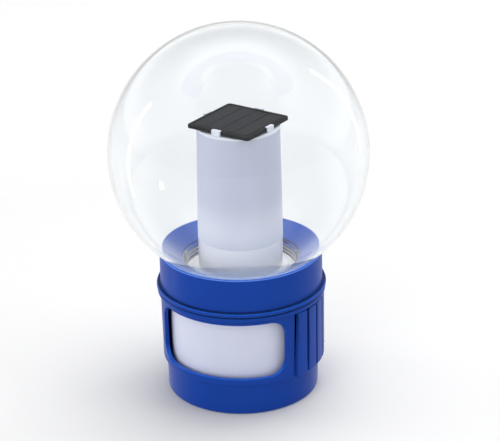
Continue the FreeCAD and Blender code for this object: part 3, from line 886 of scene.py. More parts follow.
@dataclass(frozen=True)
class ClearFinish(Finish):
    """Clear plastic that lets the lamps through, with a painted highlight line and painted reflection where
    the ball leaves the dish, on the side towards the camera, and painted glints along the thread's crest.
    """

    index: float = 1.49
    # Painted highlight line and painted pale-blue reflection where the ball leaves the dish
    painted_reflection_colour: Colour = (0.66, 0.79, 1.0)
    reflection_low: float = 109.8
    reflection_full: float = 110.4
    reflection_fade: float = 111.2
    reflection_high: float = 112.6
    reflection_amount: float = 0.62
    broad_reflection_top: float = 131.0
    broad_reflection_amount: float = 0.3
    # Way towards the camera; the painted reflection lies only on this side
    reflection_side: Triple = (0.355, -0.935, 0.0)
    side_near: float = 5.0
    side_far: float = 40.0
    streak_shape: Triple = (0.02, 0.02, 1.0)
    streak_scale: float = 900.0
    streak_low: float = 0.3
    streak_high: float = 0.7
    streak_least: float = 0.5
    # Painted glints along the crest of the thread
    crest_glint_colour: Colour = (0.93, 0.96, 1.0)
    crest_low: float = 43.8
    crest_high: float = 44.4
    neck_top: float = 99.3
    crest_glint_amount: float = 0.95
    shine_roughness: float = 0.6
    shine_specular: float = 0.2

    def painted_reflection(self, wiring: Wiring, place: Socket) -> Socket:
        """Masks the painted highlight line and painted reflection where the ball leaves the dish, on the
        camera's side.

        Args:
            wiring: The material's wiring.
            place: Place on the ball.

        Returns:
            How much of the painted reflection lies on the plastic.
        """
        height = wiring.upward(place)
        rise = wiring.ramp(height, self.reflection_low * MM, self.reflection_full * MM, soft=True)
        fall = wiring.ramp(height, self.reflection_high * MM, self.reflection_fade * MM, soft=True)
        fade = wiring.ramp(height, self.broad_reflection_top * MM, self.reflection_full * MM, end=self.broad_reflection_amount, soft=True)
        streaks = wiring.noise(wiring.scaled(place, self.streak_shape), self.streak_scale, GRAIN_DETAIL)
        uneven = wiring.ramp(streaks, self.streak_low, self.streak_high, start=self.streak_least)
        toward = wiring.along(place, self.reflection_side)
        side = wiring.ramp(toward, self.side_near * MM, self.side_far * MM, soft=True)
        line = wiring.times(rise, fall, self.reflection_amount)
        return wiring.times(wiring.work_out("ADD", line, wiring.times(fade, rise)), uneven, side)

    def crest_glints(self, wiring: Wiring, place: Socket) -> Socket:
        """Masks the painted glints along the crest of the thread.

        Args:
            wiring: The material's wiring.
            place: Place on the ball.

        Returns:
            How much of the painted glint lies on the plastic.
        """
        radius = wiring.off_axis(place)
        low, high = self.crest_low * MM, self.crest_high * MM
        crest = wiring.ramp(radius, low, high, end=self.crest_glint_amount, soft=True)
        return wiring.times(crest, wiring.work_out("LESS_THAN", wiring.upward(place), self.neck_top * MM))

    def surface(self, wiring: Wiring, place: Socket, skin: Sockets) -> Socket:
        """Makes the clear shader, with a pale diffuse shader of painted reflection and glints over it where
        the masks say so.

        Args:
            wiring: The material's wiring.
            place: Place on the ball.
            skin: What the moulded skin puts out.

        Returns:
            The shader.
        """
        clear = wiring.node("BsdfPrincipled", {
            "Base Color": skin["Colour"], "Roughness": skin["Roughness"], "Normal": skin["Normal"],
            "IOR": self.index, "Transmission Weight": 1.0,
        }).outputs[0]
        crest_glints = self.crest_glints(wiring, place)
        # Pale diffuse shader for the painted reflection and glints
        painted_shine = wiring.node("BsdfPrincipled", {
            "Base Color": wiring.mix(crest_glints, self.painted_reflection_colour, self.crest_glint_colour),
            "Roughness": self.shine_roughness, "Specular IOR Level": self.shine_specular}).outputs[0]
        cover = wiring.work_out("MAXIMUM", self.painted_reflection(wiring, place), crest_glints)
        reflected = wiring.node("MixShader", {0: cover, 1: clear, 2: painted_shine}).outputs[0]
        shadow = wiring.node("LightPath", {}).outputs["Is Shadow Ray"]
        open_way = wiring.node("BsdfTransparent", {}).outputs[0]
        return wiring.node("MixShader", {0: shadow, 1: reflected, 2: open_way}).outputs[0]


# Blue: painted light on faces that look up, painted shade in each crease, a painted rim highlight, and edge
# wear with a painted highlight
BLUE = BeadFinish("blue_moulded", (0.0085, 0.052, 0.335), roughness=0.36, tone_swing=0.05, cloud_scale=14,
                  grain_scale=1500, grain_depth=0.000012, specular=0.08, wear_and_highlight_colour=(0.08, 0.19, 0.6),
                  wear_and_highlight_amount=0.35, top_light_colour=(0.012, 0.125, 0.66), dust_amount=0.03)
CLEAR = ClearFinish("clear_ball", (0.97, 0.988, 1.0), roughness=0.004, roughness_swing=0.004, tone_swing=0.0,
                    cloud_scale=9, grain_scale=14, grain_depth=0.00002)
CANISTER = Finish("milky_canister", (0.65, 0.68, 0.84), roughness=0.45, cloud_scale=16, tone_swing=0.025,
                  grain_scale=1200, grain_depth=0.000015, subsurface=0.5, specular=0.35, dust_amount=0.03)
GLOSS_WHITE = Finish("gloss_white", (0.94, 0.945, 0.97), roughness=0.16, roughness_swing=0.04,
                     tone_swing=0.02, grain_depth=0.000003, coat=0.3)
TRAY_WHITE = Finish("tray_white", (0.70, 0.72, 0.79), roughness=0.3, tone_swing=0.03, grain_depth=0.000004,
                    specular=0.4)
# Whiter towards its foot: painted light
FROSTED = FrostedFinish("frosted_tube", (0.52, 0.54, 0.66), roughness=0.62, roughness_swing=0.06,
                        tone_swing=0.03, cloud_scale=22, grain_scale=2200, grain_depth=0.00002,
                        subsurface=0.35, specular=0.3)
# Paler edges on the panel: wear, and a painted highlight
PANEL = Finish("panel_resin", (0.0125, 0.0127, 0.0148), roughness=0.5, roughness_swing=0.08, tone_swing=0.12,
               cloud_scale=60, grain_scale=700, grain_depth=0.00004, specular=0.1,
               wear_and_highlight_colour=(0.05, 0.05, 0.055), wear_and_highlight_amount=0.3)
CELL = CellFinish("cell_film", (0.014, 0.0145, 0.017), roughness=0.46, roughness_swing=0.06, tone_swing=0.1,
                  cloud_scale=45, grain_scale=500, grain_depth=0.00003, specular=0.1)
GREY_RUBBER = Finish("grey_rubber", (0.25, 0.25, 0.27), roughness=0.75, grain_scale=1400, grain_depth=0.00003)
BLACK_RUBBER = Finish("black_rubber", (0.02, 0.02, 0.021), roughness=0.55, grain_scale=1400,
                      grain_depth=0.00002)
STEEL = Finish("steel", (0.58, 0.58, 0.6), roughness=0.28, roughness_swing=0.1, metallic=1.0, cloud_scale=300,
               grain_scale=2500, grain_depth=0.000006, tone_swing=0.06)
CELL_SLEEVE = Finish("battery_sleeve", (0.1, 0.32, 0.16), roughness=0.3, tone_swing=0.05, coat=0.4)
BLACK = Finish("black_moulded", (0.02, 0.02, 0.022), roughness=0.4, grain_scale=1400, grain_depth=0.00002)
LEAD = Finish("lead_skin", (0.35, 0.02, 0.02), roughness=0.4, tone_swing=0.08, grain_scale=800)
BOARD = Finish("green_board", (0.02, 0.14, 0.05), roughness=0.35, tone_swing=0.12, cloud_scale=160, coat=0.3)
RESIN = Finish("lamp_resin", (0.85, 0.86, 0.8), roughness=0.08, roughness_swing=0.02, tone_swing=0.02,
               coat=0.5)
FOAM = Finish("foam", (0.05, 0.05, 0.05), roughness=0.95, tone_swing=0.3, cloud_scale=700, grain_scale=1100,
              grain_depth=0.0002)

FINISH_OF_NODE: dict[str, Finish] = {
    "canister": CANISTER, "light_base": GLOSS_WHITE, "diffuser_tube": FROSTED, "base_cover": GLOSS_WHITE,
    "neck_gasket": GREY_RUBBER, "cover_gasket": GREY_RUBBER, "base_oring": BLACK_RUBBER,
    "pivot_screw": STEEL, "pivot_washer": STEEL, "cover_screws": STEEL, "board_screws": STEEL,
    "battery_contacts": STEEL, "battery": CELL_SLEEVE, "switch_body": BLACK, "power_button": GREY_RUBBER,
    "switch_leads": LEAD, "panel_leads": LEAD, "circuit_board": BOARD, "board_parts": BLACK,
    "led_lamps": RESIN, "panel_pad": FOAM, "solar_cells": CELL,
}


# Pieces


@dataclass
class ScrewThread:
    """Round-topped ridge that winds up a turned wall."""

    wall: float
    crest: float
    start: float
    turns: float
    root_half: float
    crest_half: float
    pitch: float = 3.0
    row: float = 0.25
    run_out: float = 0.12

    def rows(self, low: float, high: float) -> list[Point]:
        """Rings, upwards, for a wall that is fine enough to carry the ridge."""
        count = round((high - low) / self.row)
        return [(self.wall, low + (high - low) * i / count) for i in range(count + 1)]

    def rise(self, angle: float, height: float) -> float:
        """How far the ridge stands at a place on the wall, from 0 to 1.

        Args:
            angle: Turns about the axis, from 0 to 1.
            height: Height on the wall.

        Returns:
            The share of the full ridge.
        """
        along = (height - self.start) / self.pitch
        lap = round(along - angle)
        wound = lap + angle
        if not 0 <= wound <= self.turns:
            return 0.0
        off = abs(along - wound) * self.pitch
        flank = min(max((self.root_half - off) / (self.root_half - self.crest_half), 0), 1)
        ends = min(wound, self.turns - wound) / self.run_out
        return flank * flank * (3 - 2 * flank) * min(max(ends, 0), 1)

    def raise_on(self, piece: Piece, low: float, high: float) -> None:
        """Raises the ridge on the wall of a turned piece.

        Args:
            piece: The turned object.
            low: Lowest height of the wall.
            high: Highest height of the wall.
        """
        take_up(piece)
        mesh = bmesh.from_edit_mesh(piece.data)
        for vertex in mesh.verts:
            place = vertex.co / MM
            radius = math.hypot(place.x, place.y)
            if abs(radius - self.wall) < SLACK and low - SLACK < place.z < high + SLACK:
                angle = (math.atan2(place.y, place.x) / math.tau) % 1
                share = 1 + self.rise(angle, place.z) * (self.crest - self.wall) / self.wall
                vertex.co.x *= share
                vertex.co.y *= share
        bmesh.update_edit_mesh(piece.data)
        put_down(piece.name)


@dataclass
class ClearBall:
    """Clear ball with its threaded neck."""

    radius: float = 95.0
    wall: float = 2.0
    neck_radius: float = 43.5
    lip: float = 88.0
    neck_round: float = 1.2
    lip_round: float = 0.5
    plain_lip: float = 0.6
    rings: int = 100
    segments: int = 192
    sharp_above: float = 60.0

    def side(self, radius: float, neck: float, count: int) -> tuple[list[Point], float]:
        """Rings of one wall of the ball, from near its top down to its neck.

        Args:
            radius: Radius of the sphere.
            neck: Radius of the neck.
            count: Number of rings on the sphere.

        Returns:
            The rings, and the height at which the neck is straight.
        """
        corner_z = BALL_CENTRE - math.sqrt(radius**2 - neck**2)
        bend = math.degrees(math.asin((neck + self.neck_round) / radius))
        rings = arc(radius, BALL_CENTRE, 180 - 180 / count, bend, count)
        straight = corner_z - self.neck_round
        return rings + soft_corner(rings[-1], (neck, corner_z), (neck, straight))[1:], straight

    def build(self) -> Piece:
        """Makes the ball and winds its thread.

        Returns:
            The finished object.
        """
        thread = ScrewThread(wall=self.neck_radius, crest=45.0, start=89.7, turns=3.0, root_half=0.85,
                             crest_half=0.3)
        bore = self.neck_radius - self.wall
        thread_low = self.lip + self.plain_lip
        outer, thread_high = self.side(self.radius, self.neck_radius, self.rings)
        inner, _ = self.side(self.radius - self.wall, bore, self.rings)
        rows = thread.rows(thread_low, thread_high)
        outline = [(0, BALL_CENTRE + self.radius), *outer, *reversed(rows[:-1]), (self.neck_radius, self.lip),
                   (bore, self.lip), *reversed(inner), (0, BALL_CENTRE + self.radius - self.wall)]
        piece = turned("clear_globe", outline, self.segments)
        ease_rings(piece, [(r, self.lip, self.lip_round) for r in (self.neck_radius, bore)], steps=3)
        thread.raise_on(piece, thread_low, thread_high)
        smooth(piece, self.sharp_above, weighted=False)
        return piece


@dataclass
class Collar:
    """Blue ring with the dish under the ball, the threaded mouth, the bead and the guide."""

    radius: float = BODY_RADIUS
    wall: float = 2.2
    bottom: float = 81.3
    bead_radius: float = 63.0
    bead_top: float = 84.7
    rim_width: float = 1.3
    dish_radius: float = 95.35
    bore: float = 45.4
    ledge: float = 85.0
    mouth: float = 40.0
    guide_radius: float = 56.85
    guide_low: float = 75.0
    canister_radius: float = 53.8
    ring_outer: float = 51.7
    ring_inner: float = 49.7
    ring_low: float = 76.3
    plain_bore: float = 1.0
    under_rings: int = 9
    dish_rings: int = 14
    rim_round: float = 1.0
    rim_inner_round: float = 0.25
    bead_round: float = 1.3
    body_round: float = 0.5
    bore_round: float = 0.6
    ledge_round: float = 0.4
    mouth_round: float = 0.6
    guide_round: float = 0.4

    def on_sphere(self, radius: float, r: float) -> float:
        """Height of the lower half of a sphere about the ball's centre, at a distance from the axis."""
        return BALL_CENTRE - math.sqrt(radius**2 - r**2)

    def bowl(self, radius: float, first: float, last: float, count: int) -> list[Point]:
        """Rings on a sphere about the ball's centre, between two distances from the axis."""
        steps = [first + (last - first) * i / (count - 1) for i in range(count)]
        return [(r, self.on_sphere(radius, r)) for r in steps]

    def build(self) -> Piece:
        """Makes the collar and winds its thread.

        Returns:
            The finished object.
        """
        thread = ScrewThread(wall=self.bore, crest=43.9, start=88.2, turns=3.6, root_half=1.0,
                             crest_half=0.45)
        under = self.dish_radius + self.wall
        skirt = self.radius - self.wall
        tube = self.bore + self.wall
        shelf = self.bottom + self.wall
        guide = self.guide_radius - self.wall
        rim = self.radius - self.rim_width
        rim_z = self.on_sphere(self.dish_radius, rim)
        dish_z = self.on_sphere(self.dish_radius, self.bore)
        thread_low, thread_high = self.ledge + self.plain_bore, dish_z - self.plain_bore
        outline = [
            (self.mouth, self.bottom), (self.ring_inner, self.bottom), (self.ring_inner, self.ring_low),
            (self.ring_outer, self.ring_low), (self.ring_outer, self.bottom),
            (self.canister_radius, self.bottom), (self.canister_radius, shelf), (tube, shelf),
            *self.bowl(under, tube, skirt, self.under_rings), (skirt, shelf), (guide, shelf),
            (guide, self.guide_low), (self.guide_radius, self.guide_low), (self.guide_radius, self.bottom),
            (self.bead_radius, self.bottom), (self.bead_radius, self.bead_top),
            (self.radius, self.bead_top), (self.radius, rim_z),
            *self.bowl(self.dish_radius, rim, self.bore, self.dish_rings),
            *reversed(thread.rows(thread_low, thread_high)), (self.bore, self.ledge),
            (self.mouth, self.ledge),
        ]
        piece = turned("dish_collar", outline)
        ease_rings(piece, [
            (self.radius, rim_z, self.rim_round), (rim, rim_z, self.rim_inner_round),
            (self.bead_radius, self.bottom, self.bead_round),
            (self.bead_radius, self.bead_top, self.bead_round),
            (self.radius, self.bead_top, self.body_round), (self.bore, dish_z, self.bore_round),
            (self.mouth, self.ledge, self.ledge_round), (self.mouth, self.bottom, self.mouth_round),
            (self.guide_radius, self.guide_low, self.guide_round),
        ])
        thread.raise_on(piece, thread_low, thread_high)
        smooth(piece)
        return piece


@dataclass
class TurningSleeve:
    """Blue sleeve with two windows, a set of grip ribs, a bead, a stepped lower ring and a floor."""

    radius: float = BODY_RADIUS
    wall_low: float = 59.5
    inner: float = 57.2
    inner_low: float = 56.5
    ring_wall: float = 2.0
    height: float = 81.0
    bead_radius: float = 62.4
    bead_low: float = 77.3
    step: float = 25.3
    inner_step: float = 28.3
    ring_top: float = 56.8
    ring_low: float = 56.5
    foot_inner: float = 51.5
    floor_low: float = 4.5
    floor_top: float = 7.0
    hub: float = 7.25
    sill: float = 30.2
    head: float = 74.1
    window_bearings: tuple[float, ...] = (90.0, 270.0)
    window_half: float = 53.0
    window_corner: float = 13.0
    corner_steps: int = 9
    column_step: float = 2.0
    grip_radius: float = 61.5
    grip_root: float = 58.0
    grip_top: float = 76.0
    grip_pitch: float = 11.6
    grip_count: int = 5
    groove_floor: float = 59.0
    groove_width: float = 1.8
    groove_drop: float = 1.0
    drain_radius: float = 1.9
    drain_circle: float = 46.0
    drain_count: int = 6
    stop_circle: float = 30.0
    stop_half: float = 2.3
    stop_turn: float = 45.0
    stop_step: float = 3.0
    floor_past: float = 1.0
    foot_round: float = 1.8
    foot_inner_round: float = 0.6
    step_round: float = 0.6
    ring_round: float = 0.4
    body_round: float = 0.5
    bead_round: float = 1.3
    top_round: float = 0.5
    edge_round: float = 0.45
    sharp_above: float = 50.0
    merge_within: float = 0.001
    cut_past: float = 2.0

    def shell(self) -> Piece:
        """Makes the plain turned sleeve.

        Returns:
            The sleeve, without its cuts.
        """
        outline = [
            (self.foot_inner, 0), (self.ring_low, 0), (self.ring_top, self.step), (self.wall_low, self.step),
            (self.radius, self.bead_low), (self.bead_radius, self.bead_low), (self.bead_radius, self.height),
            (self.inner, self.height), (self.inner_low, self.inner_step),
            (self.ring_top - self.ring_wall, self.inner_step),
            (self.ring_low - self.ring_wall, self.floor_top), (self.hub, self.floor_top),
            (self.hub, self.floor_low), (self.foot_inner, self.floor_low),
        ]
        piece = turned("turning_sleeve", outline)
        ease_rings(piece, [
            (self.ring_low, 0, self.foot_round), (self.foot_inner, 0, self.foot_inner_round),
            (self.wall_low, self.step, self.step_round), (self.ring_top, self.step, self.ring_round),
            (self.radius, self.bead_low, self.body_round), (self.bead_radius, self.bead_low, self.bead_round),
            (self.bead_radius, self.height, self.bead_round), (self.inner, self.height, self.top_round),
        ])
        return piece

    def window_columns(self) -> list[Pair]:
        """Works out the columns of a window with round corners.

        Returns:
            Angle and height share of each column, for swept().
        """
        full = self.head - self.sill
        ends = []
        for i in range(self.corner_steps + 1):
            turn = math.radians(90 * i / self.corner_steps)
            inset = math.degrees(self.window_corner * (1 - math.cos(turn)) / self.radius)
            lost = self.window_corner * (1 - math.sin(turn))
            ends.append((self.window_half - inset, 1 - 2 * lost / full))
        flat = ends[-1][0]
        middle = even_columns(flat, self.column_step)[1:-1]
        return [(-a, share) for a, share in ends] + middle + [(a, share) for a, share in reversed(ends)]

    def windows(self) -> list[Piece]:
        """Makes the two window cutters."""
        cutter = swept("window", self.inner_low - self.cut_past, self.grip_radius + self.cut_past, self.sill,
                       self.head, self.window_columns())
        return turned_copies(cutter, self.window_bearings)

    def grip_pad(self) -> Piece:
        """Makes the raised pad that the ribs are cut from."""
        half = self.grip_count * self.grip_pitch / 2
        return swept("pad", self.grip_root, self.grip_radius, self.step, self.grip_top,
                     even_columns(half, self.column_step))

    def grooves(self) -> list[Piece]:
        """Makes the cutters of the grooves beside and between the ribs.

        Returns:
            The cutters.
        """
        half = self.groove_width / 2
        groove = bar("groove", (self.groove_floor, -half, self.step - self.groove_drop),
                     (self.grip_radius + self.cut_past, half, self.grip_top))
        first = -self.grip_count * self.grip_pitch / 2
        return turned_copies(groove, [first + i * self.grip_pitch for i in range(self.grip_count + 1)])

    def floor_holes(self) -> list[Piece]:
        """Makes the cutters of the drain holes and the stop slot.

        Returns:
            The cutters.
        """
        low, high = self.floor_low - self.floor_past, self.floor_top + self.floor_past
        drains = [rod("drain", self.drain_radius, low, high, self.drain_circle, 360 * i / self.drain_count)
                  for i in range(self.drain_count)]
        slot = swept("slot", self.stop_circle - self.stop_half, self.stop_circle + self.stop_half, low, high,
                     even_columns(self.stop_turn, self.stop_step))
        for angle in (-self.stop_turn, self.stop_turn):
            work_in(slot, [rod("slot_end", self.stop_half, low, high, self.stop_circle, angle)], Work.ADD)
        return drains + [slot]

    def build(self) -> Piece:
        """Makes the sleeve and cuts its windows, grooves and floor.

        Returns:
            The finished object.
        """
        piece = self.shell()
        work_in(piece, [self.grip_pad()], Work.ADD)
        for cutters in (self.grooves(), self.windows(), self.floor_holes()):
            work_in(piece, cutters)
        round_edges(piece, self.edge_round, self.sharp_above, clamped=False)
        take_up(piece)
        bpy.ops.mesh.select_all(action="SELECT")
        bpy.ops.mesh.remove_doubles(threshold=self.merge_within * MM)
        put_down(piece.name)
        smooth(piece)
        return piece


@dataclass
class PanelTray:
    """White cap of the frosted tube, with four clips over the panel."""

    bottom: float = 204.9
    top: float = 206.4
    radius: float = 30.2
    plug_outer: float = 28.3
    plug_inner: float = 26.7
    plug_low: float = 199.9
    port: float = 2.6
    rim_round: float = 0.5
    plug_round: float = 0.3
    clip_gap: float = 0.25
    clip_thickness: float = 1.6
    clip_width: float = 7.2
    hook_reach: float = 1.3
    hook_gap: float = 0.1
    hook_height: float = 0.8
    clip_root: float = 0.7
    clip_round: float = 0.32
    clip_sharp: float = 30.0
    clip_count: int = 4

    def clip(self) -> Piece:
        """Makes one clip: a post drawn up from a block, with its hook drawn in over the panel.

        Returns:
            The clip.
        """
        near = PANEL_SIDE / 2 + self.clip_gap
        hook_low = PANEL_TOP + self.hook_gap
        half = self.clip_width / 2
        low = (near, -half, self.top - self.clip_root)
        piece = bar("clip", low, (near + self.clip_thickness, half, hook_low))
        take_up(piece)
        pick(piece, lambda p: p.z > hook_low - SLACK)
        draw_faces(0, self.hook_height)
        pick_faces(piece, lambda normal, middle: normal.x < -FACING and middle.z > hook_low)
        draw_faces(-self.hook_reach, 0)
        close_up("clip")
        round_edges(piece, self.clip_round, self.clip_sharp)
        return piece

    def build(self) -> Piece:
        """Makes the cap and puts the clips on it.

        Returns:
            The finished object.
        """
        outline = [
            (self.port, self.bottom), (self.plug_inner, self.bottom), (self.plug_inner, self.plug_low),
            (self.plug_outer, self.plug_low), (self.plug_outer, self.bottom), (self.radius, self.bottom),
            (self.radius, self.top), (self.port, self.top),
        ]
        piece = turned("clip_tray", outline, segments=128)
        ease_rings(piece, [(self.radius, self.top, self.rim_round),
                           (self.plug_outer, self.plug_low, self.plug_round)], steps=4)
        angles = [PANEL_YAW + 360 * i / self.clip_count for i in range(self.clip_count)]
        work_in(piece, turned_copies(self.clip(), angles), Work.ADD)
        smooth(piece)
        return piece


@dataclass
class SolarPanel:
    """Dark square panel with round corners and a shallow recess for its cells."""

    bottom: float = 207.2
    corner: float = 3.0
    corner_steps: int = 8
    rim: float = 2.4
    recess: float = 0.3
    edge_round: float = 0.7
    fine_round: float = 0.12
    sharp_above: float = 40.0

    def build(self) -> Piece:
        """Makes the panel from a block.

        Returns:
            The finished object.
        """
        half = PANEL_SIDE / 2
        piece = bar("cell_panel", (-half, -half, self.bottom), (half, half, PANEL_TOP))
        take_up(piece)
        bpy.context.tool_settings.mesh_select_mode = (False, True, False)
        bpy.ops.mesh.select_all(action="DESELECT")
        mesh = bmesh.from_edit_mesh(piece.data)
        for edge in mesh.edges:
            a, b = (v.co for v in edge.verts)
            edge.select_set(abs(a.z - b.z) > MM)
        bmesh.update_edit_mesh(piece.data)
        bpy.ops.mesh.bevel(offset=self.corner * MM, segments=self.corner_steps, affect="EDGES")
        pick_faces(piece, lambda normal, middle: normal.z > FACING)
        bpy.ops.mesh.inset(thickness=self.rim * MM)
        draw_faces(0, -self.recess)
        pick(piece, self.on_outer_rim)
        bpy.ops.mesh.bevel(offset=self.edge_round * MM, segments=4, affect="EDGES")
        bpy.ops.mesh.select_all(action="SELECT")
        turn_selection(PANEL_YAW)
        piece = put_down("cell_panel")
        round_edges(piece, self.fine_round, self.sharp_above, steps=2)
        smooth(piece)
        return piece

    def on_outer_rim(self, place: Vector) -> bool:
        """Tells the outer outline of the rim from its inner one.

        Args:
            place: Place on the block, in millimetres.

        Returns:
            True on the outer outline of its top.
        """
        half = PANEL_SIDE / 2 - self.corner
        x, y = abs(place.x) - half, abs(place.y) - half
        outside = math.hypot(max(x, 0), max(y, 0)) >= self.corner - self.rim / 2
        return place.z > PANEL_TOP - SLACK and max(x, y) > -SLACK and outside


# Room


class LampShape(Enum):
    """Outlines of a flat lamp."""

    OBLONG = "RECTANGLE"
    OVAL = "ELLIPSE"


@dataclass(frozen=True)
class Softbox:
    """A flat lamp that faces the object."""

    name: str
    place: Place
    width: float
    height: float
    watts: float
    mirrored: bool = True
    shape: LampShape = LampShape.OBLONG

    def build(self, aim: Vector) -> None:
        """Hangs the lamp.

        Args:
            aim: The point that it faces.
        """
        lamp = bpy.data.lights.new(self.name, "AREA")
        lamp.shape = self.shape.value
        lamp.size, lamp.size_y = self.width, self.height
        lamp.energy = self.watts
        holder = bpy.data.objects.new(self.name, lamp)
        bpy.context.scene.collection.objects.link(holder)
        holder.location = self.place
        holder.rotation_euler = (Vector(self.place) - aim).to_track_quat("Z", "Y").to_euler()
        holder.visible_camera = holder.visible_transmission = False
        holder.visible_glossy = self.mirrored


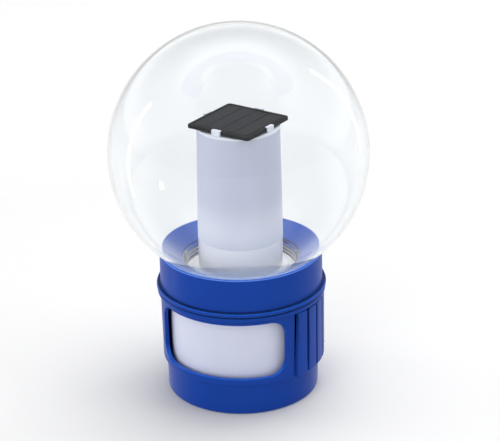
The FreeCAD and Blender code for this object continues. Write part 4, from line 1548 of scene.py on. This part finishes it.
@dataclass
class Room:
    """Pale floor, white surroundings and soft studio lamps."""

    floor_radius: float = 14.0
    floor_segments: int = 96
    floor_colour: Colour = (0.72, 0.72, 0.72)
    floor_roughness: float = 0.9
    floor_specular: float = 0.1
    glow_reach: float = 2.0
    # Distance from the middle, and how much light the floor gives off there
    glow: tuple[Pair, ...] = ((0.0, 0.03), (0.4, 0.05), (0.95, 0.24), (1.1, 0.28), (1.5, 0.78))
    diffuse_level: float = 0.38
    mirror_front: float = 0.28
    mirror_back: float = 1.0
    mirror_high: float = 0.35
    mirror_turn: Pair = (-0.4, 0.3)
    mirror_climb: Pair = (0.45, 0.1)
    halo_level: float = 0.8
    halo_outer: Pair = (0.62, 0.86)
    halo_inner: Pair = (0.92, 0.98)
    aim: Place = (0.0, 0.0, 0.15)
    lamps: tuple[Softbox, ...] = (
        Softbox("left_strip", (-1.448, -0.113, 0.16), 0.11, 1.5, 2.2),
        Softbox("right_strip", (0.791, 1.268, 0.45), 0.11, 1.4, 2.0),
        Softbox("left_spot", (-1.028, -0.974, -0.17), 0.1, 0.14, 0.5),
        Softbox("overhead", (0.1, 0.35, 1.5), 1.5, 1.5, 22.0, mirrored=False, shape=LampShape.OVAL),
        Softbox("front_low", (-0.6, -1.65, 0.34), 1.3, 0.7, 10.5, mirrored=False),
        Softbox("front_high", (0.1, -1.3, 1.4), 0.9, 0.9, 4.4, mirrored=False),
        Softbox("left_fill", (-1.5, -0.3, 0.5), 0.5, 0.8, 2.6, mirrored=False),
        Softbox("right_fill", (1.5, 0.1, 0.5), 0.5, 0.8, 3.8, mirrored=False),
    )

    def build_floor(self) -> None:
        """Lays the floor, which stays pale and keeps the object's shadow."""
        start_piece()
        bpy.ops.mesh.primitive_circle_add(
            vertices=self.floor_segments, radius=self.floor_radius, fill_type="NGON")
        floor = put_down("studio_floor")
        material = bpy.data.materials.new("studio_floor")
        wiring = Wiring.of(material)
        away = wiring.length(wiring.node("TexCoord", {}).outputs["Object"])
        level = wiring.node("ValToRGB", {"Fac": wiring.work_out("DIVIDE", away, self.glow_reach)})
        stops = level.color_ramp.elements
        for i, (distance, amount) in enumerate(self.glow):
            stop = stops[i] if i < len(stops) else stops.new(1.0)
            stop.position = distance / self.glow_reach
            stop.color = (amount, amount, amount, 1)
        shader = wiring.node("BsdfPrincipled", {
            "Base Color": self.floor_colour, "Roughness": self.floor_roughness,
            "Specular IOR Level": self.floor_specular, "Emission Color": WHITE,
            "Emission Strength": wiring.times(self.seen_ray(wiring), level.outputs[0]),
        })
        wiring.node("OutputMaterial", {"Surface": shader.outputs[0]})
        floor.data.materials.append(material)
        floor.visible_glossy = False

    @staticmethod
    def seen_ray(wiring: Wiring) -> Socket:
        """Gives 1 for what is seen directly or through glass, and 0 for what is seen in a mirror image.

        Args:
            wiring: The tree to wire.

        Returns:
            The mask.
        """
        ray = wiring.node("LightPath", {}).outputs
        straight = wiring.work_out("MAXIMUM", ray["Is Camera Ray"], ray["Is Transmission Ray"])
        return wiring.work_out("SUBTRACT", straight, ray["Glossy Depth"], clamp=True)

    def mirror_image(self, wiring: Wiring) -> Socket:
        """Gives what glossy surfaces show: a white back, a dim front and a soft halo overhead.

        Args:
            wiring: The world's wiring.

        Returns:
            The level.
        """
        way = wiring.node("TexCoord", {}).outputs["Generated"]
        ahead = math.radians(CAMERA_BEARING)
        depth = wiring.along(way, (-math.sin(ahead), math.cos(ahead), 0))
        climb = wiring.upward(way)
        wall = wiring.ramp(climb, *self.mirror_climb, start=self.mirror_high, end=self.mirror_back, soft=True)
        outer = wiring.ramp(climb, *self.halo_outer, soft=True)
        inner = wiring.ramp(climb, *self.halo_inner, start=self.halo_level, end=0.0, soft=True)
        behind = wiring.work_out("ADD", wall, wiring.times(outer, inner))
        return wiring.ramp(depth, *self.mirror_turn, start=self.mirror_front, end=behind, soft=True)

    def build_world(self) -> None:
        """Gives the world a white look, a mirror image of its own and a plain diffuse level."""
        world = bpy.data.worlds.new("studio")
        bpy.context.scene.world = world
        wiring = Wiring.of(world)
        bounces = wiring.node("LightPath", {}).outputs["Glossy Depth"]
        mirror = wiring.ramp(bounces, 0.0, 1.0, start=self.diffuse_level, end=self.mirror_image(wiring))
        level = wiring.work_out("MAXIMUM", self.seen_ray(wiring), mirror)
        back = wiring.node("Background", {"Color": WHITE, "Strength": level})
        wiring.node("OutputWorld", {"Surface": back.outputs[0]})

    def build(self) -> None:
        """Builds the floor, the world and the lamps."""
        self.build_floor()
        self.build_world()
        for lamp in self.lamps:
            lamp.build(Vector(self.aim))


@dataclass(frozen=True)
class PhotoCamera:
    """Camera that stands where the photograph was taken from. Angles are in degrees."""

    reach: float = 1.349291
    height: float = 0.713929
    yaw: float = -0.3068
    pitch: float = -23.3704
    roll: float = -1.0534
    lens: float = 144.0
    sensor: float = 36.0

    def build(self) -> None:
        """Makes the camera and looks through it."""
        data = bpy.data.cameras.new("photo_camera")
        data.lens, data.sensor_width = self.lens, self.sensor
        camera = bpy.data.objects.new("photo_camera", data)
        bpy.context.scene.collection.objects.link(camera)
        turn = Matrix.Rotation(math.radians(CAMERA_BEARING), 4, "Z")
        look = Matrix.Rotation(math.radians(CAMERA_BEARING + self.yaw), 4, "Z")
        tilt = Matrix.Rotation(math.radians(90 + self.pitch), 4, "X")
        lean = Matrix.Rotation(math.radians(self.roll), 4, "Z")
        camera.location = turn @ Vector((0, -self.reach, self.height))
        camera.rotation_euler = (look @ tilt @ lean).to_euler()
        bpy.context.scene.camera = camera


def dress_nodes() -> None:
    """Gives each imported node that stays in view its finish."""
    for name, finish in FINISH_OF_NODE.items():
        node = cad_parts[name]
        node.data.materials.clear()
        node.data.materials.append(finish.material())
        log.info("%s keeps its packed shape, finish %s", name, finish.name)


def main() -> None:
    """Builds the camera, the room, every piece and its finish, and logs each piece's body and triangle count.
    """
    logging.basicConfig(level=logging.INFO, format="%(name)s: %(message)s")
    bpy.context.scene.view_settings.view_transform = "Standard"
    PhotoCamera().build()
    Room().build()
    seat(ClearBall().build(), "globe_unit", "clear_plastic", CLEAR, "globe")
    seat(Collar().build(), "dispenser", "blue_plastic", BLUE, "collar")
    seat(TurningSleeve().build(), "sleeve", "blue_plastic", BLUE, "outer_sleeve")
    seat(PanelTray().build(), "globe_unit", "white_gloss", TRAY_WHITE, "panel_tray")
    seat(SolarPanel().build(), "globe_unit", "panel_black", PANEL, "solar_panel")
    dress_nodes()


if __name__ == "__main__":
    main()
